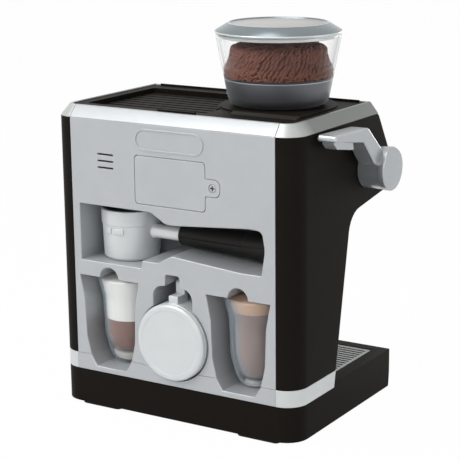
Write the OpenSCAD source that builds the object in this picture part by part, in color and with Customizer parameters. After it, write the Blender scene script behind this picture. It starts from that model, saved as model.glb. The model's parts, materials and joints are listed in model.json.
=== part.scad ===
// Toy espresso machine. Its back has wells that hold the filter holder, two glasses and
// the milk jug. +Z is up and the control panel faces -Y. The origin is on the resting
// plane, under the centre of the base. Inside each module the working frame has y = 0 on
// the rear face, -Y towards the panel, and z = 0 on the underside of the base.

/* [Housing] */
// Height of the rear panel above the battery door
door_headroom = 33.6; // [31:0.2:40]
// Thickness of the moulded walls
wall = 2.4; // [2:0.1:2.8]
// Radius of the rear corners in plan
corner_r = 17.6; // [15:0.1:19]
// Radius of the base's front corners in plan
front_r = 4; // [3.5:0.5:12]
// Height of the base under the column
base_h = 28; // [24:1:29]
// How far the tray surround stands above the rest of the base
surround_rise = 4; // [2:0.5:6]
// How far the base's front leans in towards its foot
front_draft = 4.5; // [0:0.5:6]
// Height of the silver band above the base
band_h = 13.3; // [8:0.1:16]
// Height of the chamfered trim round the top
trim_h = 9; // [6:0.5:12]
// How far the trim leans in
trim_inset = 7.3; // [4:0.1:9]

/* [Head and column] */
// Height of the head over its underside at the column
head_h = 80.7; // [76:0.1:84]
// How far the top's front edge lies behind the base's front
panel_setback = 28.7; // [26:0.1:32]
// Spare room between the wells and the column's front
column_spare = 1.1; // [0.4:0.1:6]
// Lean of the control panel from upright
panel_lean = 31.4; // [27:0.2:34]
// Rise of the underside towards the front
underside_rise = 8.7; // [4:0.1:11]
// Lean of the column's front
column_lean = 10.9; // [8:0.1:13]
// Radius between the column and the underside
throat_r = 20; // [10:1:28]
// Radius of the nose under the control panel
nose_r = 8; // [3:1:12]

/* [Top cover] */
// How far the cover lies below the edge of the trim
cover_sunk = 0.8; // [0.3:0.1:2]
// Depth of the cup warmer
warmer_sunk = 4.8; // [2:0.2:6]
// Height of the cup warmer's ribs
rib_h = 1; // [0.6:0.1:1.8]
// Distance from one rib to the next
rib_pitch = 9.6; // [8:0.1:12]
// Height of the ridge along the front edge
ridge_h = 1.6; // [0.6:0.1:3]
// Width of the raised tab at the rear edge
catch_w = 33; // [24:1:40]

/* [Feet and fasteners] */
// Height of the feet
foot_h = 3; // [1.5:0.1:5]
// Length of a foot
foot_l = 37.5; // [20:0.5:40]
// Width of a foot
foot_w = 9; // [6:1:12]
// Distance of the feet from the sides of the base
foot_margin = 17.5; // [16.5:0.5:30]
// Radius of the screws in the bottom plate
case_screw_r = 1.5; // [1:0.1:1.8]
// Radius of their heads
case_screw_head_r = 3; // [2.4:0.1:3.4]

/* [Drip tray] */
// Depth of the grille
grille_d = 80; // [70:0.5:90]
// Width of the base's rim beside the grille
side_rim_w = 12; // [11:0.5:20]
// Thickness of the grille
grille_t = 3.2; // [2:0.2:4]
// Width of the base's rim in front of the grille
rim_w = 13; // [10:0.5:16]
// Distance from one grille bar to the next
bar_pitch = 4.9; // [4:0.1:7]
// Width of a grille bar
bar_w = 2.6; // [1.6:0.1:3]
// Width of the hole in the grille that takes a finger
grip_hole_w = 24; // [18:0.5:30]
// Gap between the grille and the foot of the column
column_clear = 7; // [6.5:0.5:12]
// Depth of the drip tray
tray_h = 15; // [8:1:15]
// Wall of the drip tray
tray_wall = 1.6; // [1.2:0.1:2]

/* [Glasses] */
// Height of a glass
glass_h = 71.5; // [66:0.5:73]
// Radius of its lip
lip_r = 25; // [23:0.1:25.2]
// Radius of its waist
waist_r = 21.1; // [19:0.1:22]
// Radius of its belly
belly_r = 20.1; // [18:0.1:21]
// Radius of its heel
heel_r = 16.3; // [14:0.1:17]
// Radius of its foot
glass_foot_r = 11.1; // [9:0.1:13]
// Thickness of the clear wall
glass_wall = 1.6; // [1.2:0.1:2]
// Gap between the latte glass and its filling
latte_gap = 0.5; // [0.4:0.1:1.5]
// Space between the walls of the cappuccino glass
double_gap = 3.4; // [2:0.1:4]
// Thickness of the latte glass's clear base
latte_floor = 11; // [6:0.5:14]
// Height of the latte's foam line above the foot
foam_line = 37; // [20:1:55]
// Thickness of the cappuccino glass's clear base
cappuccino_floor = 6; // [4:0.5:9]
// Depth of the cappuccino's foam below the lip
foam_h = 12; // [6:0.5:20]

/* [Wells] */
// Space behind a glass, the basket and the jug in their wells
back_gap = 2; // [1:0.1:4]
// Space between one well and the next
between_wells = 0.2; // [0.1:0.1:3]
// Thickness of the shelf between the finger notches and the filter holder's well
shelf_t = 3.9; // [3.2:0.1:8]
// Space over the basket in its well
holder_headroom = 5.2; // [3:0.1:8]
// Space beside the basket in its well
holder_side_gap = 3.4; // [2:0.1:6]
// Distance from the filter holder's well to the side seam
holder_margin = 6.7; // [5:0.1:8]
// How far the basket sits behind the panel
basket_inset = 4.3; // [2:0.1:8]
// Height of the battery door above the filter holder's well
door_rise = 5.8; // [5:0.1:10]
// Height of the jug's opening above the base
jug_floor = 4.6; // [3:0.1:8]
// Thickness of a well's walls
well_wall = 1.5; // [1:0.1:1.5]
// Space round a glass in its well
cup_gap = 3.2; // [2:0.1:3.4]
// Height of the wells' floors above the base
well_floor = 4.5; // [4:0.1:7]
// Space between a glass well and the side seam
cup_well_margin = 4.7; // [4:0.1:5]
// Radius of the finger notch over a glass
notch_r = 8.8; // [6:0.1:10]

/* [Milk jug] */
// Radius of the jug
jug_r = 30.8; // [28:0.1:31]
// Length of the jug
jug_l = 57; // [50:0.5:58]
// Radius of the jug's mouth
jug_mouth_r = 24.5; // [20:0.5:27]
// How far the jug stands out of its well
jug_proud = 5; // [2:0.5:8]
// Space round the jug
jug_gap = 1.2; // [0.8:0.1:1.3]
// Wall of the jug
jug_wall = 1.8; // [1.2:0.1:2.4]
// Width of the jug's handle
handle_w = 8.5; // [6:0.5:9]
// Reach of the handle above the jug
handle_rise = 16; // [13:0.5:17]

/* [Filter holder] */
// Outer radius of the basket at its rim
basket_r = 24.3; // [22:0.1:24.5]
// Outer radius of the basket at its foot
basket_foot_r = 22.6; // [20:0.1:23]
// Height of the basket
basket_h = 40; // [34:0.5:41]
// Height of the collar above the basket's seam
collar_h = 12.2; // [8:0.1:16]
// Wall of the basket
basket_wall = 1.8; // [1.4:0.1:2.2]
// Height of the handle's axis above the basket's foot
grip_rise = 22.4; // [21:0.1:23.5]
// Radius of the neck
neck_r = 5.4; // [3:0.1:6]
// Radius of the handle where it meets the neck
grip_root_r = 8.3; // [6:0.1:8.6]
// Radius of the handle at its end
grip_end_r = 11.2; // [9:0.1:11.4]

/* [Hopper] */
// Width of the seat round the hopper
hopper_seat_w = 7.4; // [5:0.1:10]
// Distance from that seat to the trim
hopper_margin = 7.1; // [3:0.1:12]
// Distance of the hopper's axis from the rear face
hopper_y = 83; // [80:1:86]
// Rise of the seat above the top cover
seat_rise = 1.2; // [0.6:0.1:2]
// Radius of the clear bowl at its foot
bowl_foot_r = 38.4; // [35:0.1:39]
// Radius of the bowl's rounded heel
bowl_heel_r = 9; // [6:0.5:11]
// Radius of the clear bowl at its top
bowl_top_r = 48.9; // [46:0.1:50]
// Height of the clear bowl
bowl_h = 54.4; // [48:0.1:60]
// Wall of the bowl
bowl_wall = 1.8; // [1.4:0.1:2.4]
// Height of the grey insert that the beans lie on
insert_h = 20; // [16:0.5:26]
// Overhang of the lid past the bowl
lid_lip = 0.7; // [0.4:0.1:2]
// Height of the lid
lid_h = 9.4; // [7:0.1:11]
// Radius of the lid's flat top
lid_top_r = 37.4; // [30:0.1:40]
// Depth of the dish in the lid
lid_dish = 1.4; // [0.8:0.1:2.5]

/* [Tamping lever] */
// Distance of the hub's axis behind the base's front
lever_setback = 48.8; // [46:0.1:54]
// Distance of the hub's axis below the top
lever_drop = 47.4; // [45:0.1:50]
// Radius of the hub
hub_r = 17.2; // [14:0.1:18]
// Length of the hub
hub_l = 22.8; // [18:0.1:26]
// Width of the arm and the grip
arm_w = 16; // [12:0.5:17]
// Reach of the arm behind the hub's axis
arm_reach = 85; // [78:0.5:86]
// Radius of the lever's axle
axle_r = 4; // [3:0.1:5]
// Length of the axle inside the housing
axle_reach = 30; // [26:1:34]
// Radius of the spring's wire
spring_wire_r = 0.6; // [0.4:0.1:0.9]
// Turns of the spring
spring_turns = 4; // [2:1:5]

/* [Control panel] */
// Space between the buttons and a knob
knob_gap = 7; // [4:0.5:12]
// Radius of the gauge
gauge_r = 21; // [16:0.5:22]
// Height of the gauge's ring
gauge_h = 4; // [3:0.5:6]
// Radius of a knob
knob_r = 14; // [10:0.5:16]
// Height of a knob
knob_h = 13; // [8:0.5:16]
// Radius of a knob's shaft
knob_shaft_r = 3; // [2:0.1:4]
// Radius of a button
button_r = 6; // [4:0.1:6.5]
// How far a button stands out of the panel
button_proud = 3; // [2:0.1:4]
// Travel of a button
button_travel = 1.5; // [1:0.1:1.8]
// Distance from one button to the next
button_pitch = 16; // [14.5:0.5:16]

/* [Brewing parts] */
// Distance of the group head and the grinder's outlet behind the base's front
brew_setback = 38; // [36:0.5:42]
// Depth of the group head below the underside
group_h = 16.2; // [12:0.1:20]
// Depth of the grinder's outlet below the underside
outlet_h = 8.2; // [6:0.1:14]
// Radius of the group head
group_r = 31; // [26:0.5:33]
// Place of the group head across the body
group_x = 22; // [18:1:26]
// Radius of the grinder's outlet
outlet_r = 21; // [16:0.5:23]
// Radius of the steam wand's ball
ball_r = 7; // [5:0.1:8]
// Radius of the steam wand's tube
wand_r = 3.2; // [2.4:0.1:4]
// Length of the straight part of the steam wand
wand_l = 62; // [40:1:70]
// Lean of the steam wand
wand_lean = 14; // [6:1:18]
// Distance of the steam wand from the right side
wand_x = 24; // [20:1:28]

/* [Battery door and speaker] */
// Width of the battery door
door_w = 63.7; // [60:0.1:66]
// Height of the battery door
door_h = 37.4; // [34:0.1:38]
// Reach of the door's screw tab
tab_l = 13; // [11:0.1:15]
// Height of the screw tab
tab_h = 13.1; // [10:0.1:16]
// Radius of the door screw's head
door_screw_head_r = 3; // [2.4:0.1:3.6]
// Radius of the door screw's shank
door_screw_r = 1.5; // [1:0.1:1.8]
// Radius of a cell
cell_r = 7.1; // [6.8:0.1:7.2]
// Length of a cell
cell_l = 49; // [44:0.5:50]
// Length of a speaker slot
slot_l = 15; // [10:0.5:20]
// Distance from one speaker slot to the next
slot_pitch = 5.25; // [4:0.25:6]
// Radius of the speaker
speaker_r = 14; // [10:0.5:15]
// Width of the blank badge
badge_w = 62; // [50:1:66]
// Height of the blank badge
badge_h = 17; // [12:0.5:18]

/* [Hidden] */

arc_steps = 6;
gap = 0.4;
screw_margin = 12;
run_fit = 0.06;
over = 1;
grip_hole_round = 4;
silver = "#c9cccd";
black = "#262424";
clear = [0.85, 0.88, 0.9, 0.4];

waist_at = 0.76;
fill_drop = 1.5;
well_top_gap = 2.5;
glass_side = [
    [glass_foot_r, 0, 0],
    [heel_r, 0.12 * glass_h, 12],
    [belly_r, 0.34 * glass_h, 20],
    [waist_r, waist_at * glass_h, 25],
    [lip_r, glass_h, 0]];

cup_floor = base_h + well_floor;
cup_top = cup_floor + glass_h + well_top_gap + gap;
cup_y = gap - wall - lip_r;
cup_well_d = 2 * lip_r + wall - gap + back_gap;
jug_x = -0.5;
jug_hole_r = jug_r + jug_gap;
jug_z = base_h + jug_floor + jug_hole_r;
jug_well_d = jug_l - jug_proud + back_gap + 1;
cup_x = jug_hole_r + 2 * well_wall + between_wells + waist_r + cup_gap;

rear_half = cup_x + lip_r + cup_gap + cup_well_margin;
half_w = rear_half + corner_r;
column_d = max(cup_well_d, jug_well_d) + well_wall + wall + column_spare;
tray_back = column_d + column_clear;
tray_front = tray_back + grille_d;
base_d = tray_front + rim_w;
head_d = base_d - panel_setback;
grille_w = 2 * (half_w - side_rim_w);

holder_floor = cup_top + notch_r + shelf_t;
holder_ceiling = holder_floor + gap + basket_h + holder_headroom;
holder_left = rear_half - holder_margin;
holder_right = -rear_half + 9.4;
basket_x = holder_left - holder_side_gap - basket_r;
basket_y = -(wall + basket_r + basket_inset);
holder_well_d = basket_r - basket_y + back_gap + 0.2;
grip_z = holder_floor + gap + grip_rise;
grip_start = 9;
grip_end = holder_right + 4.6;

door_z = holder_ceiling + door_rise + door_h / 2;
top_h = door_z + door_h / 2 + door_headroom;
shell_top = top_h - trim_h;
underside_h = top_h - head_h;
band_top = base_h + band_h;
cover_z = top_h - cover_sunk - wall;
seat_top = top_h - cover_sunk + seat_rise;
surround_top = base_h + surround_rise;
column_slope = tan(column_lean);
rise_slope = tan(underside_rise);
column_y = -column_d - (underside_h - base_h) * column_slope;
lip_z = shell_top - panel_setback / tan(panel_lean);
nose_z = underside_h + (base_d + column_y) * rise_slope;
throat_reach = throat_r * 0.72 + 2;
throat_end_y = column_y - throat_reach;

outlet_y = base_d - brew_setback;
under_z = underside_h + (outlet_y + column_y) * rise_slope;
wand_z = under_z + 2.8 - ball_r;

seat_r = bowl_foot_r + hopper_seat_w;
seat_tail = 7;
seat_slope = 4;
hopper_x = trim_inset + wall + hopper_margin + seat_r;

jug_slot_w = handle_w + 4.4;
jug_slot_top = jug_z + jug_r + handle_rise + 6;
finger_w = 36;
finger_top = jug_z + 43.5;
finger_r = 9;

lever_y = base_d - lever_setback;
lever_z = top_h - lever_drop;
arm_x = -half_w - 2.6;
// Side outlines of the arm and of the pad under it, in shares of the arm's reach
arm_side = [[0, 0.094], [0.126, 0.206], [0.387, 0.431], [0.995, 0.449], [1.009, 0.416],
    [0.464, 0.307], [0.254, 0.086], [0.094, 0]];
grip_side = [[0.606, 0.27], [0.9, 0.32], [0.952, 0.372], [0.985, 0.43], [0.647, 0.4]];
bearing_r = axle_r + 4;
bearing_l = 14;

panel_mid_y = -(head_d + base_d) / 2;
panel_mid_z = (shell_top + lip_z) / 2;
button_x = gauge_r + button_r + 4;
knob_x = button_x + button_pitch + button_r + knob_gap + knob_r;

tray_rim_w = grille_w / 2 + gap;
grille_z = surround_top - gap - grille_t;
pocket_z = grille_z - tray_h - gap;

door_t = wall - 0.3;
tab_screw_x = -door_w / 2 - tab_l / 2;
badge_z = top_h - 20.8;
slot_x = cup_x;
slot_z = top_h - 41;
box_wall = 1.6;
box_w = cell_l + 7;
box_h = 4 * cell_r + 3.4;
box_d = 2 * cell_r + 3;
cell_y = -wall - 1.2 - cell_r;

// Points of an arc of radius r that rounds the corner "at"
function unit(v) = v / norm(v);
function corner_arc(before, at, after, r) =
    let (
        u = unit(before - at),
        v = unit(after - at),
        half_angle = acos(u * v) / 2,
        middle = at + unit(u + v) * r / sin(half_angle),
        first = at + u * r / tan(half_angle) - middle,
        last = at + v * r / tan(half_angle) - middle,
        start = atan2(first.y, first.x),
        sweep = (atan2(last.y, last.x) - start + 540) % 360 - 180
    )
    [for (i = [0:arc_steps]) middle
        + r * [cos(start + sweep * i / arc_steps), sin(start + sweep * i / arc_steps)]];

// Closed outline from corners [x, y, radius]
function rounded(corners) =
    let (n = len(corners), p = [for (c = corners) [c[0], c[1]]])
    [for (i = [0:n - 1]) each corners[i][2] == 0 ? [p[i]]
        : corner_arc(p[(i + n - 1) % n], p[i], p[(i + 1) % n], corners[i][2])];

function rectangle(x0, x1, y0, y1, r) = rounded([[x0, y0, r], [x1, y0, r], [x1, y1, r], [x0, y1, r]]);

// Puts the working frame in the part's own frame
module seat() {
    translate([0, base_d / 2, foot_h]) children();
}

// Extrudes an outline drawn in (y, z) from x0 to x1
module along_x(x0, x1) {
    translate([x0, 0, 0]) rotate([90, 0, 90]) linear_extrude(x1 - x0) children();
}

// Extrudes an outline drawn in (x, z) from depth y0 behind the rear face to depth y1
module inward(y0, y1) {
    translate([0, -y0, 0]) rotate([90, 0, 0]) linear_extrude(y1 - y0) children();
}

// Puts a piece on the control panel: z stands out of it and y runs up it
module on_panel(x) {
    translate([x, panel_mid_y, panel_mid_z]) rotate([90 - panel_lean, 0, 0]) children();
}

// Everything behind the column's front and above the head's underside
module housing_space() {
    along_x(-half_w, half_w) polygon(rounded([
        [0, base_h, 0],
        [-column_d, base_h, 0],
        [column_y, underside_h, throat_r],
        [-base_d - over, nose_z + over * rise_slope, 0],
        [-base_d - over, top_h, 0],
        [0, top_h, 0]]));
}

// Wire wound about Z, from eight-sided rings
module wire_coil(r, wire_r, turns, pitch) {
    sides = 8;
    rings = turns * 16;
    points = [for (i = [0:rings]) for (k = [0:sides - 1])
        let (a = 22.5 * i, b = 360 * k / sides, q = r + wire_r * cos(b))
        [q * cos(a), q * sin(a), pitch * i / 16 + wire_r * sin(b)]];
    walls = [for (i = [0:rings - 1]) for (k = [0:sides - 1])
        let (a = i * sides + k, b = i * sides + (k + 1) % sides)
        [a, a + sides, b + sides, b]];
    first = [for (k = [0:sides - 1]) k];
    last = [for (k = [0:sides - 1]) (rings + 1) * sides - 1 - k];
    polyhedron(points, concat(walls, [first, last]));
}

// Wall along the right side and round its rear corner
module corner_wall(z0, z1) {
    translate([0, 0, z0]) linear_extrude(z1 - z0) {
        translate([half_w - wall, -base_d]) square([wall, base_d - corner_r]);
        translate([rear_half, -corner_r]) intersection() {
            difference() {
                circle(r = corner_r, $fn = 96);
                circle(r = corner_r - wall, $fn = 96);
            }
            square(corner_r);
        }
    }
}

module side_shell() {
    intersection() {
        corner_wall(band_top, shell_top);
        along_x(rear_half, half_w) polygon(rounded([
            [0, band_top, 0],
            [0, shell_top, 0],
            [-head_d, shell_top, 4],
            [-base_d, lip_z, nose_r],
            [-base_d, nose_z, nose_r * 0.6],
            [column_y, underside_h, throat_r],
            [-column_d - band_h * column_slope, band_top, 0]]));
    }
}

module band() {
    intersection() {
        corner_wall(base_h, band_top);
        along_x(rear_half, half_w) polygon([
            [0, base_h],
            [0, band_top],
            [-column_d - band_h * column_slope, band_top],
            [-column_d, base_h]]);
    }
}

module trim_section(x) {
    polygon([
        [x, shell_top],
        [x - trim_inset, top_h],
        [x - trim_inset - wall, top_h],
        [x - trim_inset - wall, cover_z],
        [x - wall, shell_top]]);
}

module top_trim() {
    inward(corner_r, head_d) trim_section(half_w);
    translate([rear_half, -corner_r, 0]) rotate_extrude(angle = 90, $fn = 96) trim_section(corner_r);
}

module base_outline(inset) {
    linear_extrude(surround_top + over) polygon(rounded([
        [half_w - inset, -inset, corner_r - inset],
        [-half_w + inset, -inset, corner_r - inset],
        [-half_w + inset, -base_d + inset, front_r - inset],
        [half_w - inset, -base_d + inset, front_r - inset]]));
}

module base() color(black) seat() difference() {
    intersection() {
        base_outline(0);
        along_x(-half_w, half_w) polygon(rounded([
            [0, 0, 0],
            [0, base_h, 0],
            [-column_d, base_h, 0],
            [-column_d - surround_rise * column_slope, surround_top, 1],
            [-base_d, surround_top, 3],
            [-base_d + front_draft, 0, 0]]));
    }
    intersection() {
        translate([0, 0, -over]) base_outline(wall);
        along_x(-half_w, half_w) polygon([
            [0, -over],
            [0, base_h - wall],
            [-tray_back + gap + wall, base_h - wall],
            [-tray_back + gap + wall, surround_top - wall],
            [-base_d + wall, surround_top - wall],
            [-base_d + wall + front_draft, -over]]);
    }
    tray_space();
}

// The pocket that the drip tray and the grille drop into
module tray_space() {
    translate([0, 0, pocket_z]) linear_extrude(surround_top)
        polygon(rectangle(-tray_rim_w, tray_rim_w, -tray_front - gap, -tray_back + gap, 0));
}

module tray_well() color(black) seat() difference() {
    translate([0, 0, pocket_z - wall]) linear_extrude(surround_top - pocket_z)
        polygon(rectangle(-tray_rim_w - wall, tray_rim_w + wall,
            -tray_front - gap - wall, -tray_back + gap + wall, 0));
    tray_space();
}

// Places under the base, "side_margin" from its sides and "end_margin" from its ends
module under_corners(side_margin, end_margin) {
    for (x = [-half_w + side_margin, half_w - side_margin])
        for (y = [-end_margin, -base_d + front_draft + end_margin])
            translate([x, y, 0]) children();
}

module base_plate() color(black) seat() {
    edge = wall + 0.3;
    difference() {
        linear_extrude(wall) polygon(rounded([
            [half_w - edge, -edge, corner_r - edge],
            [-half_w + edge, -edge, corner_r - edge],
            [-half_w + edge, -base_d + front_draft + edge, front_r - edge],
            [half_w - edge, -base_d + front_draft + edge, front_r - edge]]));
        under_corners(screw_margin, screw_margin) translate([0, 0, -over])
            cylinder(r = case_screw_r + 0.3, h = wall + 2 * over, $fn = 32);
    }
}

module feet() color(black) seat() {
    under_corners(foot_margin + foot_l / 2, foot_w / 2 + wall + gap) translate([0, 0, -foot_h])
        linear_extrude(foot_h) polygon(rectangle(-foot_l / 2, foot_l / 2, -foot_w / 2, foot_w / 2, foot_w * 0.45));
}

module base_screws() color("silver") seat() {
    head_h = 1.4;
    under_corners(screw_margin, screw_margin) translate([0, 0, -head_h]) {
        cylinder(r = case_screw_head_r, h = head_h, $fn = 32);
        cylinder(r = case_screw_r, h = head_h + wall + 6, $fn = 32);
    }
}

module left_band() color(silver) seat() mirror([1, 0, 0]) band();
module right_band() color(silver) seat() band();
module right_side_shell() color(black) seat() side_shell();
module left_side_shell() color(black) seat() difference() {
    mirror([1, 0, 0]) side_shell();
    translate([-half_w - over, -lever_y, lever_z]) rotate([0, 90, 0])
        cylinder(r = axle_r + gap, h = wall + 2 * over, $fn = 48);
}
module left_top_trim() color(silver) seat() mirror([1, 0, 0]) top_trim();
module right_top_trim() color(silver) seat() top_trim();

module cup_opening() {
    polygon(concat(cup_side(1), cup_side(-1)));
}

// Right or left side of a glass well, in (x, z)
function cup_side(side) =
    let (
        corners = [for (c = glass_side) [side * (c[0] + cup_gap), c[1], c[2]]],
        n = len(corners),
        points = [for (i = [0:n - 1]) each corners[i][2] == 0
            ? [[corners[i][0], i == 0 ? cup_floor : cup_top]]
            : [for (p = corner_arc(
                [corners[i - 1][0], corners[i - 1][1]],
                [corners[i][0], corners[i][1]],
                [corners[i + 1][0], corners[i + 1][1]], corners[i][2])) [p.x, p.y + cup_floor]]]
    )
    side > 0 ? points : [for (i = [len(points) - 1:-1:0]) points[i]];

module cup_cut(x) {
    translate([x, 0]) cup_opening();
    translate([x, cup_top]) circle(r = notch_r, $fn = 64);
}

module holder_cut() {
    step_x = basket_x - basket_r - 5.2;
    polygon(rounded([
        [holder_left, holder_floor, 0.6],
        [holder_left, holder_ceiling, 0.6],
        [step_x - 10, holder_ceiling, 9],
        [step_x - 24, grip_z + 14.6, 9],
        [step_x - 32, grip_z + 14.6, 6],
        [holder_right + 14, grip_z + 20, 14],
        [holder_right + 2.2, grip_z + 19.4, 5],
        [holder_right - 0.4, grip_z + 5, 22],
        [holder_right + 2.8, grip_z - 14.4, 1],
        [holder_right + 22, grip_z - 14.4, 10],
        [0, grip_z - 9.6, 4],
        [step_x - 16, grip_z - 16.6, 6],
        [step_x - 1.4, grip_z - 16.6, 1],
        [step_x, holder_floor, 0.6]]));
}

module jug_cut() {
    translate([jug_x, jug_z]) circle(r = jug_hole_r, $fn = 96);
    polygon(rounded([
        [jug_x - finger_w / 2, jug_z, 0],
        [jug_x - finger_w / 2, finger_top, finger_r],
        [jug_x - jug_slot_w / 2, finger_top, 2],
        [jug_x - jug_slot_w / 2, jug_slot_top, 2],
        [jug_x + jug_slot_w / 2, jug_slot_top, 2],
        [jug_x + jug_slot_w / 2, finger_top, 2],
        [jug_x + finger_w / 2, finger_top, finger_r],
        [jug_x + finger_w / 2, jug_z, 0]]));
}

module door_outline(grow) {
    polygon(rectangle(-door_w / 2 - grow, door_w / 2 + grow,
        door_z - door_h / 2 - grow, door_z + door_h / 2 + grow, 3));
    polygon(rectangle(-door_w / 2 - tab_l - grow, 0,
        door_z - tab_h / 2 - grow, door_z + tab_h / 2 + grow, 5));
}

module badge_outline(r) {
    square([badge_w - badge_h, 2 * r], center = true);
    for (side = [-1, 1]) translate([side * (badge_w - badge_h) / 2, 0]) circle(r = r, $fn = 48);
}

module rear_panel() color(silver) seat() {
    line = 0.4;
    difference() {
        along_x(-rear_half, rear_half) polygon([
            [0, base_h],
            [0, shell_top],
            [-trim_inset, top_h],
            [-trim_inset - wall, top_h],
            [-trim_inset - wall, cover_z],
            [-wall, shell_top],
            [-wall, base_h]]);
        inward(-over, wall + over) {
            cup_cut(cup_x);
            cup_cut(-cup_x);
            holder_cut();
            jug_cut();
            door_outline(gap);
            for (i = [-1:1]) polygon(rectangle(slot_x - slot_l / 2, slot_x + slot_l / 2,
                slot_z + i * slot_pitch - 0.7, slot_z + i * slot_pitch + 0.7, 0.6));
        }
        translate([-half_w, -line, band_top - line / 2]) cube([2 * half_w, line + over, line]);
    }
    inward(-0.5, 0) translate([0, badge_z]) difference() {
        badge_outline(badge_h / 2);
        badge_outline(badge_h / 2 - 0.9);
    }
}

// A tub behind the rear panel, with the outline of the opening that it serves
module well(depth) {
    difference() {
        inward(wall, depth + well_wall) offset(delta = well_wall) children();
        inward(wall - over, depth) children();
    }
}

module portafilter_well() color(silver) seat() well(holder_well_d) holder_cut();
module latte_well() color(silver) seat() well(cup_well_d) cup_cut(cup_x);
module cappuccino_well() color(silver) seat() well(cup_well_d) cup_cut(-cup_x);
module jug_well() color(silver) seat() well(jug_well_d) jug_cut();

module cover_outline(edge, front) {
    polygon(rounded([
        [half_w - edge, -edge, corner_r - edge],
        [-half_w + edge, -edge, corner_r - edge],
        [-half_w + edge, front, 0],
        [half_w - edge, front, 0]]));
}

// Outline of the raised seat round the hopper, grown by "grow"
module hopper_seat(grow) {
    translate([-half_w + hopper_x, -hopper_y]) {
        circle(r = seat_r + grow, $fn = 96);
        translate([-seat_r - grow, 0]) square([1.25 * seat_r + 2 * grow, seat_r + seat_tail - seat_slope + grow]);
    }
}

module top_cover() color(black) seat() {
    edge = trim_inset + wall;
    front = -head_d + wall;
    surface = cover_z + wall;
    warmer_left = -half_w + hopper_x + 0.64 * seat_r;
    warmer_right = half_w - edge - 8.5;
    warmer_front = front + 15;
    warmer_back = -22;
    ridge_side = half_w - edge - 6;
    ridge_w = 1.6;
    rib_w = 6.6;
    catch_t = 3;
    catch_h = 2.4;
    difference() {
        union() {
            translate([0, 0, cover_z]) linear_extrude(wall) cover_outline(edge, front);
            translate([0, 0, cover_z]) linear_extrude(wall + seat_rise) intersection() {
                hopper_seat(0);
                cover_outline(edge, front);
            }
            translate([-half_w + hopper_x, 0, 0]) along_x(-seat_r, seat_r / 4) polygon([
                [-hopper_y + seat_r + seat_tail - seat_slope, cover_z],
                [-hopper_y + seat_r + seat_tail, cover_z],
                [-hopper_y + seat_r + seat_tail, surface],
                [-hopper_y + seat_r + seat_tail - seat_slope, surface + seat_rise]]);
            translate([0, 0, cover_z - warmer_sunk]) linear_extrude(warmer_sunk)
                polygon(rectangle(warmer_left - wall, warmer_right + wall, warmer_front - wall, warmer_back + wall, 3));
            along_x(-ridge_side, ridge_side)
                polygon(rectangle(front, front + ridge_w, cover_z, surface + ridge_h, 0));
            translate([-catch_w / 2, -edge - gap - catch_t, cover_z]) cube([catch_w, catch_t, wall + catch_h]);
        }
        difference() {
            translate([0, 0, surface - warmer_sunk]) linear_extrude(warmer_sunk + over)
                polygon(rectangle(warmer_left, warmer_right, warmer_front, warmer_back, 3));
            translate([0, 0, surface - warmer_sunk - over]) linear_extrude(warmer_sunk + 3 * over) hopper_seat(1.5);
        }
    }
    difference() {
        for (y = [warmer_front + 2.4:rib_pitch:warmer_back - rib_w])
            translate([warmer_left + 1, y, surface - warmer_sunk])
                cube([warmer_right - warmer_left - 2, rib_w, rib_h]);
        translate([0, 0, surface - warmer_sunk - over]) linear_extrude(rib_h + 2 * over) hopper_seat(3);
    }
}

module control_panel() color(silver) seat() {
    inner = half_w - wall;
    difference() {
        intersection() {
            inward(0, base_d + over) polygon([
                [-inner, 0],
                [-inner, shell_top],
                [-inner + trim_inset, cover_z],
                [-inner + trim_inset, top_h],
                [inner - trim_inset, top_h],
                [inner - trim_inset, cover_z],
                [inner, shell_top],
                [inner, 0]]);
            along_x(-inner, inner) polygon(rounded([
                [-head_d, top_h, 1],
                [-head_d, shell_top, 0],
                [-base_d, lip_z, nose_r],
                [-base_d, nose_z, 0],
                [-base_d + wall, nose_z - wall * rise_slope, 0],
                [-base_d + wall, lip_z, nose_r - wall / 2],
                [-head_d + wall, shell_top, 0],
                [-head_d + wall, top_h, 0]]));
        }
        for (x = [-knob_x, knob_x]) on_panel(x) translate([0, 0, -2 * wall])
            cylinder(r = knob_shaft_r + gap, h = 4 * wall, $fn = 48);
        for (i = [0:2]) on_panel(button_x + i * button_pitch - button_shift(i)) translate([0, 0, -2 * wall])
            cylinder(r = button_r + gap, h = 4 * wall, $fn = 48);
    }
}

// The first button is on the left of the gauge, the other two are on its right
function button_shift(i) = i == 0 ? 2 * button_x : button_pitch;

module head_underside() color(black) seat() {
    inner = half_w - wall;
    socket_x = half_w - wand_x;
    difference() {
        union() {
            along_x(-inner, inner) polygon([
                [throat_end_y, underside_h - (throat_end_y - column_y) * rise_slope],
                [-base_d + wall, nose_z - wall * rise_slope],
                [-base_d + wall, nose_z - wall * rise_slope + wall],
                [throat_end_y, underside_h - (throat_end_y - column_y) * rise_slope + wall]]);
            translate([socket_x, -outlet_y, wand_z - 2]) cylinder(r = ball_r + 3, h = ball_r + 5, $fn = 48);
        }
        translate([socket_x, -outlet_y, wand_z]) sphere(r = ball_r + 0.4, $fn = 64);
        translate([socket_x, -outlet_y, wand_z - ball_r - 3]) cylinder(r = ball_r - 1, h = ball_r + 2, $fn = 48);
    }
}

module column_front() color(black) seat() {
    inner = half_w - wall;
    shift = wall * (1 - column_slope) / (1 - column_slope * rise_slope);
    end_z = underside_h - (throat_end_y - column_y) * rise_slope;
    along_x(-inner, inner) polygon(rounded([
        [-column_d, base_h, 0],
        [column_y, underside_h, throat_r],
        [throat_end_y, end_z, 0],
        [throat_end_y, end_z + wall, 0],
        [column_y + shift, underside_h + wall - shift * rise_slope, throat_r + wall],
        [-column_d + wall, base_h, 0]]));
}

module at_hopper(z) {
    translate([hopper_x - half_w, -hopper_y, seat_top + z]) children();
}

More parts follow.
